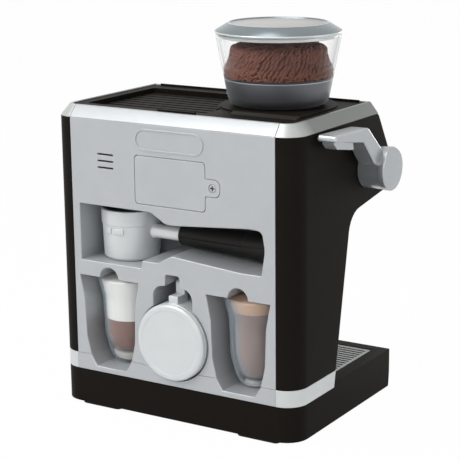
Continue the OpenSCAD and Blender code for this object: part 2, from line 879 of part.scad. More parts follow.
function bowl_r(z) = bowl_foot_r + (bowl_top_r - bowl_foot_r) * z / bowl_h;

module hopper_bowl() color(clear) seat() at_hopper(0) {
    rotate_extrude($fn = 128) polygon(rounded([
        [0, 0, 0],
        [bowl_foot_r, 0, bowl_heel_r],
        [bowl_top_r, bowl_h, 0],
        [bowl_top_r - bowl_wall, bowl_h, 0],
        [bowl_r(bowl_wall) - bowl_wall, bowl_wall, bowl_heel_r - bowl_wall],
        [0, bowl_wall, 0]]));
}

module hopper_insert() color("dimgray") seat() at_hopper(bowl_wall) {
    skin = 1.8;
    side = bowl_wall + gap / 2;
    heel_r = bowl_heel_r - bowl_wall;
    rotate_extrude($fn = 128) polygon(rounded([
        [0, insert_h - skin, 0],
        [bowl_r(insert_h - skin) - side - skin, insert_h - skin, 0],
        [bowl_foot_r - side - heel_r - skin, 0, 0],
        [bowl_foot_r - side, 0, heel_r],
        [bowl_r(insert_h) - side, insert_h, 0],
        [0, insert_h, 0]]));
}

module bean_mound() color("saddlebrown") seat() at_hopper(bowl_wall + insert_h) {
    headroom = 6.2;
    base_r = bowl_r(insert_h) - bowl_wall - 0.4;
    mound_h = bowl_h - bowl_wall - insert_h - headroom;
    rotate_extrude($fn = 96) polygon(rounded([
        [0, 0, 0],
        [base_r, 0, 0],
        [1.03 * base_r, 0.26 * mound_h, 3],
        [0.94 * base_r, 0.55 * mound_h, 5],
        [0.87 * base_r, 0.87 * mound_h, 3],
        [0.74 * base_r, mound_h, 3],
        [0, mound_h, 0]]));
}

module hopper_lid() color(silver) seat() at_hopper(bowl_h + gap) {
    rim_r = bowl_top_r + lid_lip;
    rim_h = 3.7;
    rim_taper = 1.2;
    plug_h = 2.4;
    plug_r = bowl_r(bowl_h - plug_h) - bowl_wall - 0.6;
    skin = 1.6;
    rotate_extrude($fn = 128) polygon([
        [0, lid_h - lid_dish],
        [lid_top_r - 2.4, lid_h - lid_dish],
        [lid_top_r - 1, lid_h],
        [lid_top_r, lid_h],
        [rim_r, rim_h],
        [rim_r - rim_taper, 0],
        [plug_r, 0],
        [plug_r, -plug_h],
        [plug_r - skin, -plug_h],
        [plug_r - skin, rim_h - skin],
        [lid_top_r - 3.2, lid_h - lid_dish - skin],
        [0, lid_h - lid_dish - skin]]);
}

module gauge_ring() color("silver") seat() on_panel(0) {
    rotate_extrude($fn = 96) polygon([
        [gauge_r - 2, 0],
        [gauge_r, 0],
        [gauge_r, gauge_h - 1],
        [gauge_r - 1, gauge_h],
        [gauge_r - 2, gauge_h - 0.6]]);
}

module gauge_dial() color("white") seat() on_panel(0) {
    cylinder(r = gauge_r - 2, h = 1, $fn = 96);
}

module gauge_needle() color("red") seat() on_panel(0) translate([0, 0, 1]) {
    cylinder(r = 1.8, h = 1.2, $fn = 32);
    rotate([0, 0, 40]) linear_extrude(0.6) polygon([[-0.8, -4], [0.8, -4], [0.3, gauge_r - 6], [-0.3, gauge_r - 6]]);
}

module gauge_lens() color(clear) seat() on_panel(0) translate([0, 0, gauge_h - 1.4]) {
    cylinder(r = gauge_r - 2, h = 0.8, $fn = 96);
}

// A knob with a pointer, standing clear of the panel on its shaft
module knob() {
    difference() {
        union() {
            translate([0, 0, gap]) cylinder(r = knob_r, h = 2.5, $fn = 96);
            translate([0, 0, gap]) cylinder(r = knob_r - 2, h = knob_h, $fn = 96);
            translate([0, 0, -wall - 3]) cylinder(r = knob_shaft_r, h = knob_h, $fn = 48);
            translate([-1, 0, gap + knob_h]) cube([2, knob_r - 3, 1]);
        }
        translate([0, 0, -wall - 3 - over]) cylinder(r = knob_shaft_r / 2, h = 4, $fn = 32);
    }
}

module dose_knob() color(silver) seat() on_panel(-knob_x) knob();
module steam_knob() color(silver) seat() on_panel(knob_x) knob();

// A button with the flange that keeps it behind the panel
module button(i) {
    on_panel(button_x + i * button_pitch - button_shift(i)) {
        translate([0, 0, -wall - gap]) cylinder(r = button_r, h = button_proud + wall + gap, $fn = 64);
        translate([0, 0, -wall - gap - 1.2 - 0.6]) cylinder(r = button_r + 1.2, h = 1.2, $fn = 64);
        translate([0, 0, -wall - gap - 5]) cylinder(r = 1.5, h = 5, $fn = 32);
    }
}

module power_button() color("silver") seat() button(0);
module single_button() color("silver") seat() button(1);
module double_button() color("silver") seat() button(2);

module circuit_board() color("green") seat() on_panel(0) {
    board_z = -wall - 5 - button_travel - 4;
    board_h = 4 / 3 * gauge_r;
    board_side = button_x + 2 * button_r;
    translate([-board_side, -board_h / 2, board_z]) cube([2 * board_side + button_pitch, board_h, 1.6]);
    for (i = [0:2]) translate([button_x + i * button_pitch - button_shift(i), 0, board_z + 1.6])
        cylinder(r = 2.6, h = 1.6, $fn = 32);
    translate([-8, -6, board_z + 1.6]) cube([16, 12, 1.6]);
}

module group_head() color(silver) seat() {
    bottom = under_z - group_h;
    difference() {
        translate([group_x, -outlet_y, bottom]) cylinder(r = group_r, h = group_h + 12, $fn = 96);
        translate([group_x, -outlet_y, bottom - over]) cylinder(r = basket_r + 1.2, h = 9, $fn = 96);
        housing_space();
    }
}

module grinder_outlet() color(black) seat() {
    bottom = under_z - outlet_h;
    difference() {
        translate([hopper_x - half_w - 12, -outlet_y, bottom]) cylinder(r = outlet_r, h = outlet_h + 8, $fn = 96);
        translate([hopper_x - half_w - 12, -outlet_y, bottom - over]) cylinder(r = outlet_r - 3, h = 6, $fn = 96);
        housing_space();
    }
}

// The wand's frame: z = 0 at the ball's centre, leaning forward
module at_wand() {
    translate([half_w - wand_x, -outlet_y, wand_z]) children();
}

module steam_wand() color("silver") seat() at_wand() {
    drop = ball_r + 6;
    bend_r = 14;
    sphere(r = ball_r, $fn = 64);
    translate([0, 0, -drop]) cylinder(r = wand_r, h = drop, $fn = 48);
    translate([0, -bend_r, -drop]) rotate([0, -90, 0]) rotate([0, 0, 90])
        rotate_extrude(angle = wand_lean, $fn = 96) translate([bend_r, 0]) circle(r = wand_r, $fn = 48);
    translate([0, -bend_r, -drop]) rotate([-wand_lean, 0, 0]) translate([0, bend_r, -wand_l]) {
        cylinder(r = wand_r, h = wand_l, $fn = 48);
        translate([0, 0, -4]) cylinder(r1 = wand_r - 1, r2 = wand_r + 1, h = 4, $fn = 48);
    }
}

module wand_grip() color(black) seat() at_wand() {
    drop = ball_r + 6;
    bend_r = 14;
    translate([0, -bend_r, -drop]) rotate([-wand_lean, 0, 0]) translate([0, bend_r, -wand_l * 0.6])
        rotate_extrude($fn = 64) polygon([
            [wand_r, 0],
            [wand_r + 1.4, 0],
            [wand_r + 2.2, 1.5],
            [wand_r + 2.2, 22],
            [wand_r + 1.4, 23.5],
            [wand_r, 23.5]]);
}

// The lever's axis runs along X from the outer face of the left shell
module at_lever() {
    translate([-half_w, -lever_y, lever_z]) rotate([0, 90, 0]) children();
}

module lever_bearing() color("white") seat() at_lever() translate([0, 0, wall]) difference() {
    union() {
        cylinder(r = bearing_r, h = bearing_l, $fn = 64);
        cylinder(r = bearing_r + 5, h = 2, $fn = 64);
    }
    translate([0, 0, -over]) cylinder(r = axle_r + run_fit, h = bearing_l + 2 * over, $fn = 64);
}

module tamping_lever() color(silver) seat() {
    clear_of_shell = 0.4;
    pad_inset = 2.5;
    difference() {
        union() {
            at_lever() translate([0, 0, -hub_l - clear_of_shell]) rotate_extrude($fn = 96) polygon([
                [0, 0],
                [hub_r - 1, 0],
                [hub_r, 1],
                [hub_r, hub_l],
                [0, hub_l]]);
            translate([0, -lever_y, lever_z]) {
                along_x(arm_x - arm_w, arm_x) polygon(arm_reach * arm_side);
                along_x(arm_x - arm_w + pad_inset, arm_x - pad_inset) polygon(arm_reach * grip_side);
            }
        }
        at_lever() translate([0, 0, -hub_l + 4]) cylinder(r = axle_r, h = hub_l, $fn = 64);
    }
}

module lever_axle() color("silver") seat() at_lever() translate([0, 0, -hub_l + 4]) {
    cylinder(r = axle_r, h = hub_l - 4 + axle_reach, $fn = 64);
    translate([0, 0, hub_l - 4 + wall + bearing_l + 0.5]) cylinder(r = axle_r + 2, h = 1, $fn = 64);
}

module lever_spring() color("silver") seat() at_lever() translate([0, 0, wall + bearing_l + 3]) {
    wire_coil(axle_r + 0.4 + spring_wire_r, spring_wire_r, spring_turns, 2 * spring_wire_r + 0.3);
}

module battery_box() color(black) seat() {
    flange = 3;
    screw_clear = door_screw_r + 0.3;
    difference() {
        union() {
            inward(wall, wall + 1.2) polygon(rectangle(-door_w / 2 - tab_l - flange, door_w / 2 + flange,
                door_z - door_h / 2 - flange, door_z + door_h / 2 + flange, 3));
            inward(wall, wall + box_d + box_wall) polygon(rectangle(-box_w / 2 - box_wall, box_w / 2 + box_wall,
                door_z - box_h / 2 - box_wall, door_z + box_h / 2 + box_wall, 2));
            translate([tab_screw_x, -wall, door_z]) rotate([90, 0, 0]) cylinder(r = 4, h = 9, $fn = 48);
        }
        inward(wall - over, wall + box_d) polygon(rectangle(-box_w / 2, box_w / 2,
            door_z - box_h / 2, door_z + box_h / 2, 1));
        translate([tab_screw_x, over - wall, door_z]) rotate([90, 0, 0]) cylinder(r = screw_clear, h = 9, $fn = 48);
    }
}

module battery_contacts() color("silver") seat() {
    for (side = [-1, 1]) for (row = [-1, 1])
        translate([side * (box_w / 2 - 0.4) - 0.4, cell_y - 4.5, door_z + row * (cell_r + 0.5) - 4.5]) cube([0.8, 9, 9]);
}

module batteries() color("dimgray") seat() {
    for (row = [-1, 1]) translate([row * cell_l / 2, cell_y, door_z + row * (cell_r + 0.5)]) rotate([0, -90 * row, 0]) {
        cylinder(r = cell_r, h = cell_l - 1.4, $fn = 64);
        cylinder(r = 2.7, h = cell_l, $fn = 48);
    }
}

module battery_door() color(silver) seat() difference() {
    inward(0, door_t) door_outline(0);
    translate([tab_screw_x, over, door_z]) rotate([90, 0, 0])
        cylinder(r = door_screw_head_r + 0.3, h = 1.3 + over, $fn = 48);
    translate([tab_screw_x, over, door_z]) rotate([90, 0, 0])
        cylinder(r = door_screw_r + 0.3, h = 5, $fn = 48);
}

module battery_door_screw() color("silver") seat() translate([tab_screw_x, -0.1, door_z]) rotate([90, 0, 0]) {
    difference() {
        cylinder(r = door_screw_head_r, h = 0.9, $fn = 48);
        for (turn = [0, 90]) rotate([0, 0, turn]) translate([-2, -0.4, -over]) cube([4, 0.8, over + 0.5]);
    }
    translate([0, 0, 0.9]) cylinder(r = door_screw_r, h = 7, $fn = 48);
}

module speaker() color("dimgray") seat() translate([slot_x, -wall, slot_z]) rotate([90, 0, 0]) {
    difference() {
        cylinder(r = speaker_r, h = 3, $fn = 96);
        translate([0, 0, -over]) cylinder(r1 = speaker_r - 1, r2 = speaker_r / 2, h = 3, $fn = 96);
    }
    translate([0, 0, 3]) cylinder(r = 0.64 * speaker_r, h = 0.32 * speaker_r, $fn = 96);
}

module drip_tray() color(black) seat() translate([0, 0, pocket_z + gap]) difference() {
    linear_extrude(tray_h) polygon(rectangle(-grille_w / 2, grille_w / 2, -tray_front, -tray_back, 2));
    translate([0, 0, tray_wall]) linear_extrude(tray_h) polygon(rectangle(-grille_w / 2 + tray_wall,
        grille_w / 2 - tray_wall, -tray_front + tray_wall, -tray_back - tray_wall, 1));
}

// The grille lies on the drip tray's rim, and the two lift out together
module drip_grille() color(silver) seat() translate([0, 0, grille_z]) {
    frame_w = 3;
    spine = 4;
    slot_w = bar_pitch - bar_w;
    inner = grille_w / 2 - frame_w;
    slots = floor((tray_front - tray_back - 2 * frame_w) / bar_pitch);
    // A finger hole in a solid ring, between the middles of two bars
    hole_y = -tray_front + frame_w + 3 * bar_pitch;
    ring_w = grip_hole_w / 2 + bar_w;
    ring_d = 2 * bar_pitch;
    hole_d = ring_d - bar_w;
    difference() {
        linear_extrude(grille_t) polygon(rectangle(-grille_w / 2, grille_w / 2, -tray_front, -tray_back, 2));
        difference() {
            for (i = [0:slots - 1]) for (x = [-inner, spine / 2])
                translate([x, -tray_front + frame_w + bar_w / 2 + i * bar_pitch, -over])
                    cube([inner - spine / 2, slot_w, grille_t + 2 * over]);
            translate([0, 0, -2 * over]) linear_extrude(grille_t + 4 * over)
                polygon(rectangle(-ring_w, ring_w, hole_y - ring_d, hole_y + ring_d, grip_hole_round + bar_w));
        }
        translate([0, 0, -over]) linear_extrude(grille_t + 2 * over)
            polygon(rectangle(-grip_hole_w / 2, grip_hole_w / 2, hole_y - hole_d, hole_y + hole_d, grip_hole_round));
    }
}

module at_basket() {
    translate([basket_x, basket_y, holder_floor + gap]) children();
}

module portafilter_basket() color(silver) seat() {
    seam_z = basket_h - collar_h;
    seam_r = basket_foot_r + (basket_r - 0.4 - basket_foot_r) * seam_z / basket_h;
    lug_w = basket_r / 2;
    lug_h = 0.14 * basket_h;
    difference() {
        union() {
            at_basket() rotate_extrude($fn = 128) polygon([
                [0, 0],
                [basket_foot_r - 1.5, 0],
                [basket_foot_r, 1.5],
                [seam_r, seam_z],
                [seam_r + 0.5, seam_z + 0.6],
                [basket_r, basket_h],
                [0, basket_h]]);
            for (turn = [80, 260]) at_basket() rotate([0, 0, turn])
                translate([seam_r - 2, -lug_w / 2, seam_z - lug_h - 1.4]) cube([3, lug_w, lug_h]);
            translate([grip_start, basket_y, grip_z]) rotate([0, 90, 0])
                cylinder(r = neck_r, h = basket_x - basket_foot_r + 4 - grip_start, $fn = 64);
        }
        at_basket() translate([0, 0, 3]) cylinder(r1 = basket_foot_r - basket_wall,
            r2 = basket_r - basket_wall, h = basket_h, $fn = 128);
    }
}

module filter_insert() color("silver") seat() at_basket() {
    skin = 0.8;
    lip = basket_h - 0.2;
    floor_z = 0.4 * basket_h;
    out_r = basket_foot_r - basket_wall - 0.1;
    rotate_extrude($fn = 128) polygon([
        [0, floor_z],
        [out_r, floor_z],
        [out_r, lip - 0.8],
        [basket_r - basket_wall - 0.2, lip - 0.8],
        [basket_r - basket_wall - 0.2, lip],
        [out_r - skin, lip],
        [out_r - skin, floor_z + skin],
        [0, floor_z + skin]]);
}

module portafilter_handle() color(black) seat() {
    length = grip_start - grip_end;
    translate([grip_start, basket_y, grip_z]) rotate([0, -90, 0]) rotate_extrude($fn = 96) polygon([
        [0, 0],
        [grip_root_r - 1, 0],
        [grip_root_r, 1],
        [grip_root_r + 0.8, length * 0.4],
        [grip_end_r, length - 8],
        [grip_end_r - 0.6, length - 3],
        [grip_end_r - 3, length],
        [0, length]]);
}

// Half section of a glass moved in by "inset", from height z0 to height z1
module glass_section(inset, z0, z1) {
    flare = (lip_r - waist_r) / (glass_h * (1 - waist_at));
    spare = 8;
    corners = concat([[-over, 0, 0]], glass_side,
        [[lip_r + spare * flare, glass_h + spare, 0], [-over, glass_h + spare, 0]]);
    intersection() {
        offset(delta = -inset) polygon(rounded(corners));
        translate([0, z0]) square([lip_r + spare, z1 - z0]);
    }
}

module at_glass(x) {
    translate([x, cup_y, cup_floor + gap]) rotate_extrude($fn = 96) children();
}

module glass_shell(floor_h) {
    difference() {
        glass_section(0, 0, glass_h);
        glass_section(glass_wall, floor_h, glass_h + over);
    }
}

module latte_glass() color(clear) seat() at_glass(cup_x) glass_shell(latte_floor);
module latte_coffee() color("sienna") seat() at_glass(cup_x)
    glass_section(glass_wall + latte_gap, latte_floor, foam_line);
module latte_foam() color("white") seat() at_glass(cup_x)
    glass_section(glass_wall + latte_gap, foam_line, glass_h - fill_drop);

module cappuccino_glass() color(clear) seat() at_glass(-cup_x) glass_shell(cappuccino_floor);
module cappuccino_coffee() color("rosybrown") seat() at_glass(-cup_x)
    glass_section(glass_wall + double_gap, cappuccino_floor, glass_h - foam_h);
module cappuccino_foam() color("tan") seat() at_glass(-cup_x)
    glass_section(glass_wall + double_gap, glass_h - foam_h, glass_h - fill_drop);

module milk_jug() color(silver) seat() translate([jug_x, jug_proud, jug_z]) rotate([90, 0, 0]) {
    belly = 0.5 * jug_l;
    riser_z = 0.28 * jug_l;
    bar_t = 5;
    tab_z = 6;
    tab_rise = 5.5;
    difference() {
        union() {
            rotate_extrude($fn = 128) polygon([
                [0, 0],
                [jug_r - 3, 0],
                [jug_r - 0.9, 0.9],
                [jug_r, 3],
                [jug_r, belly],
                [jug_mouth_r, jug_l - 6],
                [jug_mouth_r + 1.4, jug_l],
                [0, jug_l]]);
            translate([-handle_w / 2, jug_r - 4, riser_z]) cube([handle_w, handle_rise + 4, bar_t]);
            translate([-handle_w / 2, jug_r + handle_rise - bar_t, riser_z]) cube([handle_w, bar_t, jug_l - riser_z - 6]);
            translate([-handle_w / 2, jug_mouth_r - 1, jug_l - 6 - bar_t])
                cube([handle_w, jug_r + handle_rise - jug_mouth_r + 1, bar_t]);
            translate([-handle_w / 2, jug_r - 4, tab_z]) cube([handle_w, tab_rise + 4, riser_z - tab_z + 1]);
        }
        translate([0, 0, 2.4]) rotate_extrude($fn = 128) polygon([
            [0, 0],
            [jug_r - 5, 0],
            [jug_r - jug_wall, 4],
            [jug_r - jug_wall, belly - 2.4],
            [jug_mouth_r - jug_wall, jug_l - 8.4],
            [jug_mouth_r + 1.4 - jug_wall, jug_l],
            [0, jug_l]]);
    }
}

base();
tray_well();
base_plate();
feet();
base_screws();
left_band();
right_band();
left_side_shell();
right_side_shell();
left_top_trim();
right_top_trim();
rear_panel();
top_cover();
control_panel();
head_underside();
column_front();
portafilter_well();
latte_well();
cappuccino_well();
jug_well();
hopper_bowl();
hopper_insert();
bean_mound();
hopper_lid();
gauge_ring();
gauge_dial();
gauge_needle();
gauge_lens();
dose_knob();
steam_knob();
power_button();
single_button();
double_button();
circuit_board();
group_head();
grinder_outlet();
steam_wand();
wand_grip();
lever_bearing();
tamping_lever();
lever_axle();
lever_spring();
battery_box();
battery_contacts();
batteries();
battery_door();
battery_door_screw();
speaker();
drip_tray();
drip_grille();
portafilter_basket();
filter_insert();
portafilter_handle();
latte_glass();
latte_coffee();
latte_foam();
cappuccino_glass();
cappuccino_coffee();
cappuccino_foam();
milk_jug();
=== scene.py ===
import json
import random
from math import acos, atan2, cos, degrees, exp, pi, radians, sin, sqrt, tan

import bpy
import bmesh
from mathutils import Matrix, Vector
from mathutils.geometry import tessellate_polygon

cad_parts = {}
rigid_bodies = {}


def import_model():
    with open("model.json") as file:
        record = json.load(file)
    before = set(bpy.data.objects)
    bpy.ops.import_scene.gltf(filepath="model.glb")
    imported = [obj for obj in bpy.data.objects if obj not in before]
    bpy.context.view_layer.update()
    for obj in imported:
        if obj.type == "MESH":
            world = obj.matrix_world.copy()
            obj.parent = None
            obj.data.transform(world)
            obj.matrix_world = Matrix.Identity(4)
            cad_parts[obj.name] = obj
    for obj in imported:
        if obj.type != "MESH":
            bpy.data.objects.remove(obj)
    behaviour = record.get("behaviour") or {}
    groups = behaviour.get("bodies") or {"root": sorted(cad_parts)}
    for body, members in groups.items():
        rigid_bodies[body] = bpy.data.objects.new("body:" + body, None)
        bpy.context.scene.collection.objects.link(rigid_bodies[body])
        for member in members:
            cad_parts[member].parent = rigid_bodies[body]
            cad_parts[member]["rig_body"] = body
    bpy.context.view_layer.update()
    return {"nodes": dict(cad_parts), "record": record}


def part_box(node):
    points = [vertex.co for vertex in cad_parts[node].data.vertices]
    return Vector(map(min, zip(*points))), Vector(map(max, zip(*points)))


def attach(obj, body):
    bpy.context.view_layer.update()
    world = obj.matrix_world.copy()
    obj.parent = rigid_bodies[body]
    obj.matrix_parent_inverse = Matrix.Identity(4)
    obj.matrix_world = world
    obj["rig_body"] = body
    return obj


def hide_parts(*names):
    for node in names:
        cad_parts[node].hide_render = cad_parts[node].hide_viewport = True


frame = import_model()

print("frame loaded:", len(frame["nodes"]), "nodes")

# Shapes are drawn in mm, in a working frame: x across, y = 0 on the rear face and negative
# towards the front, z = 0 on the underside of the base. "seat" takes them to the row frame.
mm = 0.001
seat = Matrix.Translation((0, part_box("base")[1].y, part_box("base")[0].z)) @ Matrix.Scale(mm, 4)
bodyOf = {node: obj["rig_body"] for node, obj in frame["nodes"].items()}
slotOf = {part["node"]: part["material_slot"] for part in frame["record"]["subparts"]}
zAxis = Vector((0, 0, 1))


def linear(code):
    # sRGB hex to the linear colour that a shader socket takes
    values = [int(code[i:i + 2], 16) / 255 for i in (1, 3, 5)]
    return [v / 12.92 if v <= 0.04045 else ((v + 0.055) / 1.055) ** 2.4 for v in values] + [1.0]


def shaded(colour, factor):
    return [min(1.0, c * factor) for c in colour[:3]] + [1.0]


def addNode(material, kind, settings=None, links=None):
    # settings are the node's own options or its sockets' values, links are its sockets' sources
    node = material.node_tree.nodes.new("ShaderNode" + kind)
    for name, value in (settings or {}).items():
        if isinstance(name, str) and hasattr(node, name):
            setattr(node, name, value)
        else:
            node.inputs[name].default_value = value
    for name, socket in (links or {}).items():
        material.node_tree.links.new(node.inputs[name], socket)
    return node


def newMaterial(name):
    material = bpy.data.materials.new(name)
    material.use_nodes = True
    material.node_tree.nodes.clear()
    return material


def finishShader(material, settings, links=None):
    shader = addNode(material, "BsdfPrincipled", settings, links)
    addNode(material, "OutputMaterial", links={"Surface": shader.outputs["BSDF"]})
    return material


# how wide the slow patterns are, from crest to crest
patternWidth = {"mottle": 18 * mm, "ripple": 14 * mm}


def moulded(name, colour, roughness, grain, mottle=0.02, metallic=0.0, ior=1.53, gloss=0.5, coat=0.0):
    # moulded or sprayed plastic: grain is the texture's (width, height) in mm, mottle the
    # uneven shade that pigment and flow leave
    material = newMaterial(name)
    base = linear(colour)
    place = addNode(material, "TexCoord").outputs["Object"]
    fine = addNode(material, "TexNoise", {"Scale": 1 / (grain[0] * mm), "Detail": 3.0, "Roughness": 0.6},
                   {"Vector": place}).outputs["Fac"]
    wide = addNode(material, "TexNoise", {"Scale": 1 / patternWidth["mottle"], "Detail": 2.0},
                   {"Vector": place}).outputs["Fac"]
    bump = addNode(material, "Bump", {"Strength": 1.0, "Distance": grain[1] * mm}, {"Height": fine})
    tone = addNode(material, "ValToRGB", links={"Fac": wide})
    for stop, position, factor in zip(tone.color_ramp.elements, (0.3, 0.7), (1 - mottle, 1 + mottle)):
        stop.position, stop.color = position, shaded(base, factor)
    rough = addNode(material, "MapRange", {"To Min": roughness * 0.9, "To Max": roughness * 1.1},
                    {"Value": fine})
    settings = {"Metallic": metallic, "Specular IOR Level": gloss, "Coat Weight": coat,
                "Coat Roughness": 0.15}
    if metallic < 1:
        settings["IOR"] = ior
    return finishShader(material, settings,
                        {"Base Color": tone.outputs["Color"], "Roughness": rough.outputs["Result"],
                         "Normal": bump.outputs["Normal"]})


def clearMoulding(name, colour, roughness, facing, edge, steepness=4.0):
    # clear plastic in thin walls: lamps pass through it, and it turns pale where the eye meets the
    # wall at a slant; facing and edge are how solid it looks head on and along its rim
    material = newMaterial(name)
    place = addNode(material, "TexCoord").outputs["Object"]
    # the faint ripple that a mould's polish leaves
    ripple = addNode(material, "TexNoise", {"Scale": 1 / patternWidth["ripple"], "Detail": 1.0},
                     {"Vector": place}).outputs["Fac"]
    bump = addNode(material, "Bump", {"Strength": 0.4, "Distance": 0.05 * mm}, {"Height": ripple})
    slant = addNode(material, "LayerWeight", {"Blend": 0.5}).outputs["Facing"]
    steep = addNode(material, "Math", {"operation": "POWER", 1: steepness}, {0: slant}).outputs[0]
    solid = addNode(material, "MapRange", {"To Min": facing, "To Max": edge}, {"Value": steep})
    return finishShader(material, {"Base Color": linear(colour), "Roughness": roughness, "IOR": 1.59},
                        {"Normal": bump.outputs["Normal"], "Alpha": solid.outputs["Result"]})


def tinted(material, towards, share):
    # mixes a finished material's colour towards another, by the share that a socket gives
    nodes, links = material.node_tree.nodes, material.node_tree.links
    colour = next(node for node in nodes if node.type == "BSDF_PRINCIPLED").inputs["Base Color"]
    mixed = addNode(material, "MixRGB", {"blend_type": "MIX", "Color2": linear(towards)},
                    {"Fac": share, "Color1": colour.links[0].from_socket})
    links.new(colour, mixed.outputs["Color"])
    return material


def shadedHollows(material, amount, dark):
    # paints shade into the hollows of a relief: the colour darkens towards another where pointiness is low
    hollow = addNode(material, "MapRange", {"From Min": 0.5 - amount, "From Max": 0.5 + amount / 3,
                                            "To Min": 1.0, "To Max": 0.0},
                     {"Value": addNode(material, "NewGeometry").outputs["Pointiness"]})
    return tinted(material, dark, hollow.outputs["Result"])


def shadedAlongY(material, towardsShade, fromY, toY):
    # paints shade along y: mixes a lacquer's colour towards a darker one between two depths in mm
    place = addNode(material, "TexCoord").outputs["Object"]
    depth = addNode(material, "SeparateXYZ", links={"Vector": place}).outputs["Y"]
    share = addNode(material, "MapRange", {"From Min": fromY * mm, "From Max": toY * mm}, {"Value": depth})
    return tinted(material, towardsShade, share.outputs["Result"])


materials = {
    # ABS from a spark-eroded mould: a fine matt texture, so black stays soft with no sharp glint
    "black_shell": moulded("mouldedMattAbs", "#1b1815", 0.5, (0.5, 0.015), mottle=0.05, gloss=0.03),
    # ABS with aluminium pigment in the resin: pale grey with a soft satin sheen
    "silver_shell": moulded("pigmentedSatinAbs", "#b7babd", 0.4, (0.4, 0.006), metallic=0.3),
    # ABS sprayed with silver lacquer: brighter, with a smoother skin and tighter highlights
    "silver_trim": moulded("lacqueredAbs", "#cfd3d3", 0.3, (0.6, 0.006), metallic=0.4),
    # polystyrene from a polished mould: clear, with edges that gather light
    "clear_plastic": clearMoulding("clearPolystyrene", "#e2e8ea", 0.05, 0.012, 0.75),
    # sprayed in dark metallic paint: long soft gradients from dark to bright
    "grey_metallic": moulded("metallicPaintedAbs", "#67686c", 0.42, (0.5, 0.002), metallic=0.7),
    # soft PVC moulded in one brown: waxy matt beans, a little uneven in tone, with painted shade in the
    # hollows between them
    "bean_brown": shadedHollows(moulded("mouldedBeanPvc", "#774c3f", 0.6, (0.8, 0.05), mottle=0.12, gloss=0.2),
                          0.05, "#2c1612"),
    # the lever's silver lacquer over a polished moulding: a satin metal look
    "lever_silver": moulded("lacqueredLeverAbs", "#afb3b5", 0.26, (0.6, 0.002), metallic=0.6),
    # the knobs' lacquer, over a less polished moulding
    "knob_silver": moulded("lacqueredKnobAbs", "#c4c8c9", 0.28, (0.6, 0.005), metallic=0.5),
    # ABS with metal evaporated on it under lacquer: a clean mirror, a little darker than steel
    "chrome_plate": moulded("vacuumMetallisedAbs", "#b4b6ba", 0.1, (2.0, 0.002), mottle=0.01, metallic=1.0),
    # coated card: flat white with a slight tooth
    "dial_white": moulded("printedCard", "#f0f0ea", 0.6, (0.3, 0.01), mottle=0.01, ior=1.5),
    # enamel sprayed on a thin pointer: glossy red
    "needle_red": moulded("sprayedEnamel", "#b8201c", 0.25, (1.0, 0.004), mottle=0.03, ior=1.5),
    # steel plated with zinc: bright grey, hazy from its crystals
    "steel": moulded("zincPlatedSteel", "#b9bbbd", 0.32, (0.8, 0.01), mottle=0.05, metallic=1.0),
    # glass-fibre board under green solder mask: a woven tooth under a glossy coat
    "board_green": moulded("solderMaskedBoard", "#1d5b33", 0.3, (0.6, 0.02), mottle=0.08, ior=1.55),
    # nylon: milky and slightly waxy
    "nylon_white": moulded("mouldedNylon", "#e6e6de", 0.4, (0.8, 0.01), mottle=0.03),
    # unseen ABS, left as moulded: plain black with ejector haze
    "inner_black": moulded("plainBlackAbs", "#1e1d1d", 0.45, (0.7, 0.015), mottle=0.06),
    # shrink-wrapped film round a cell: smooth and glossy
    "cell_jacket": moulded("shrinkWrapFilm", "#2c2e31", 0.22, (3.0, 0.01), mottle=0.03, ior=1.5, coat=0.3),
    # moulded rubber: dull and dusty black, hardly any glint
    "foot_rubber": moulded("mouldedRubber", "#191919", 0.85, (0.5, 0.03), mottle=0.1, ior=1.52, gloss=0.3),
    "grip_rubber": moulded("mouldedGripRubber", "#171717", 0.75, (0.5, 0.03), mottle=0.08, ior=1.52,
                           gloss=0.3),
    # the handle's ABS from a smoother mould: satin black with broad highlights
    "handle_black": moulded("mouldedSatinAbs", "#171412", 0.4, (0.8, 0.006), mottle=0.05, gloss=0.2),
    # the holder's and the jug's silver lacquer: pale, smooth, clean highlights
    "holder_silver": moulded("lacqueredHolderAbs", "#d3d7d8", 0.32, (0.9, 0.0008), mottle=0.015,
                             metallic=0.2),
    # the drinks are opaque fillings with the smooth skin of a mould
    "coffee_brown": moulded("mouldedCoffeeFilling", "#8a6a60", 0.4, (1.2, 0.01), mottle=0.04),
    "foam_white": moulded("mouldedFoamFilling", "#f8f8f4", 0.5, (1.0, 0.03), mottle=0.015),
    "coffee_grey": moulded("mouldedPaleCoffeeFilling", "#a8958e", 0.4, (1.2, 0.01), mottle=0.04),
    "foam_tan": moulded("mouldedCremaFilling", "#e3bfa2", 0.5, (1.0, 0.03), mottle=0.04),
}
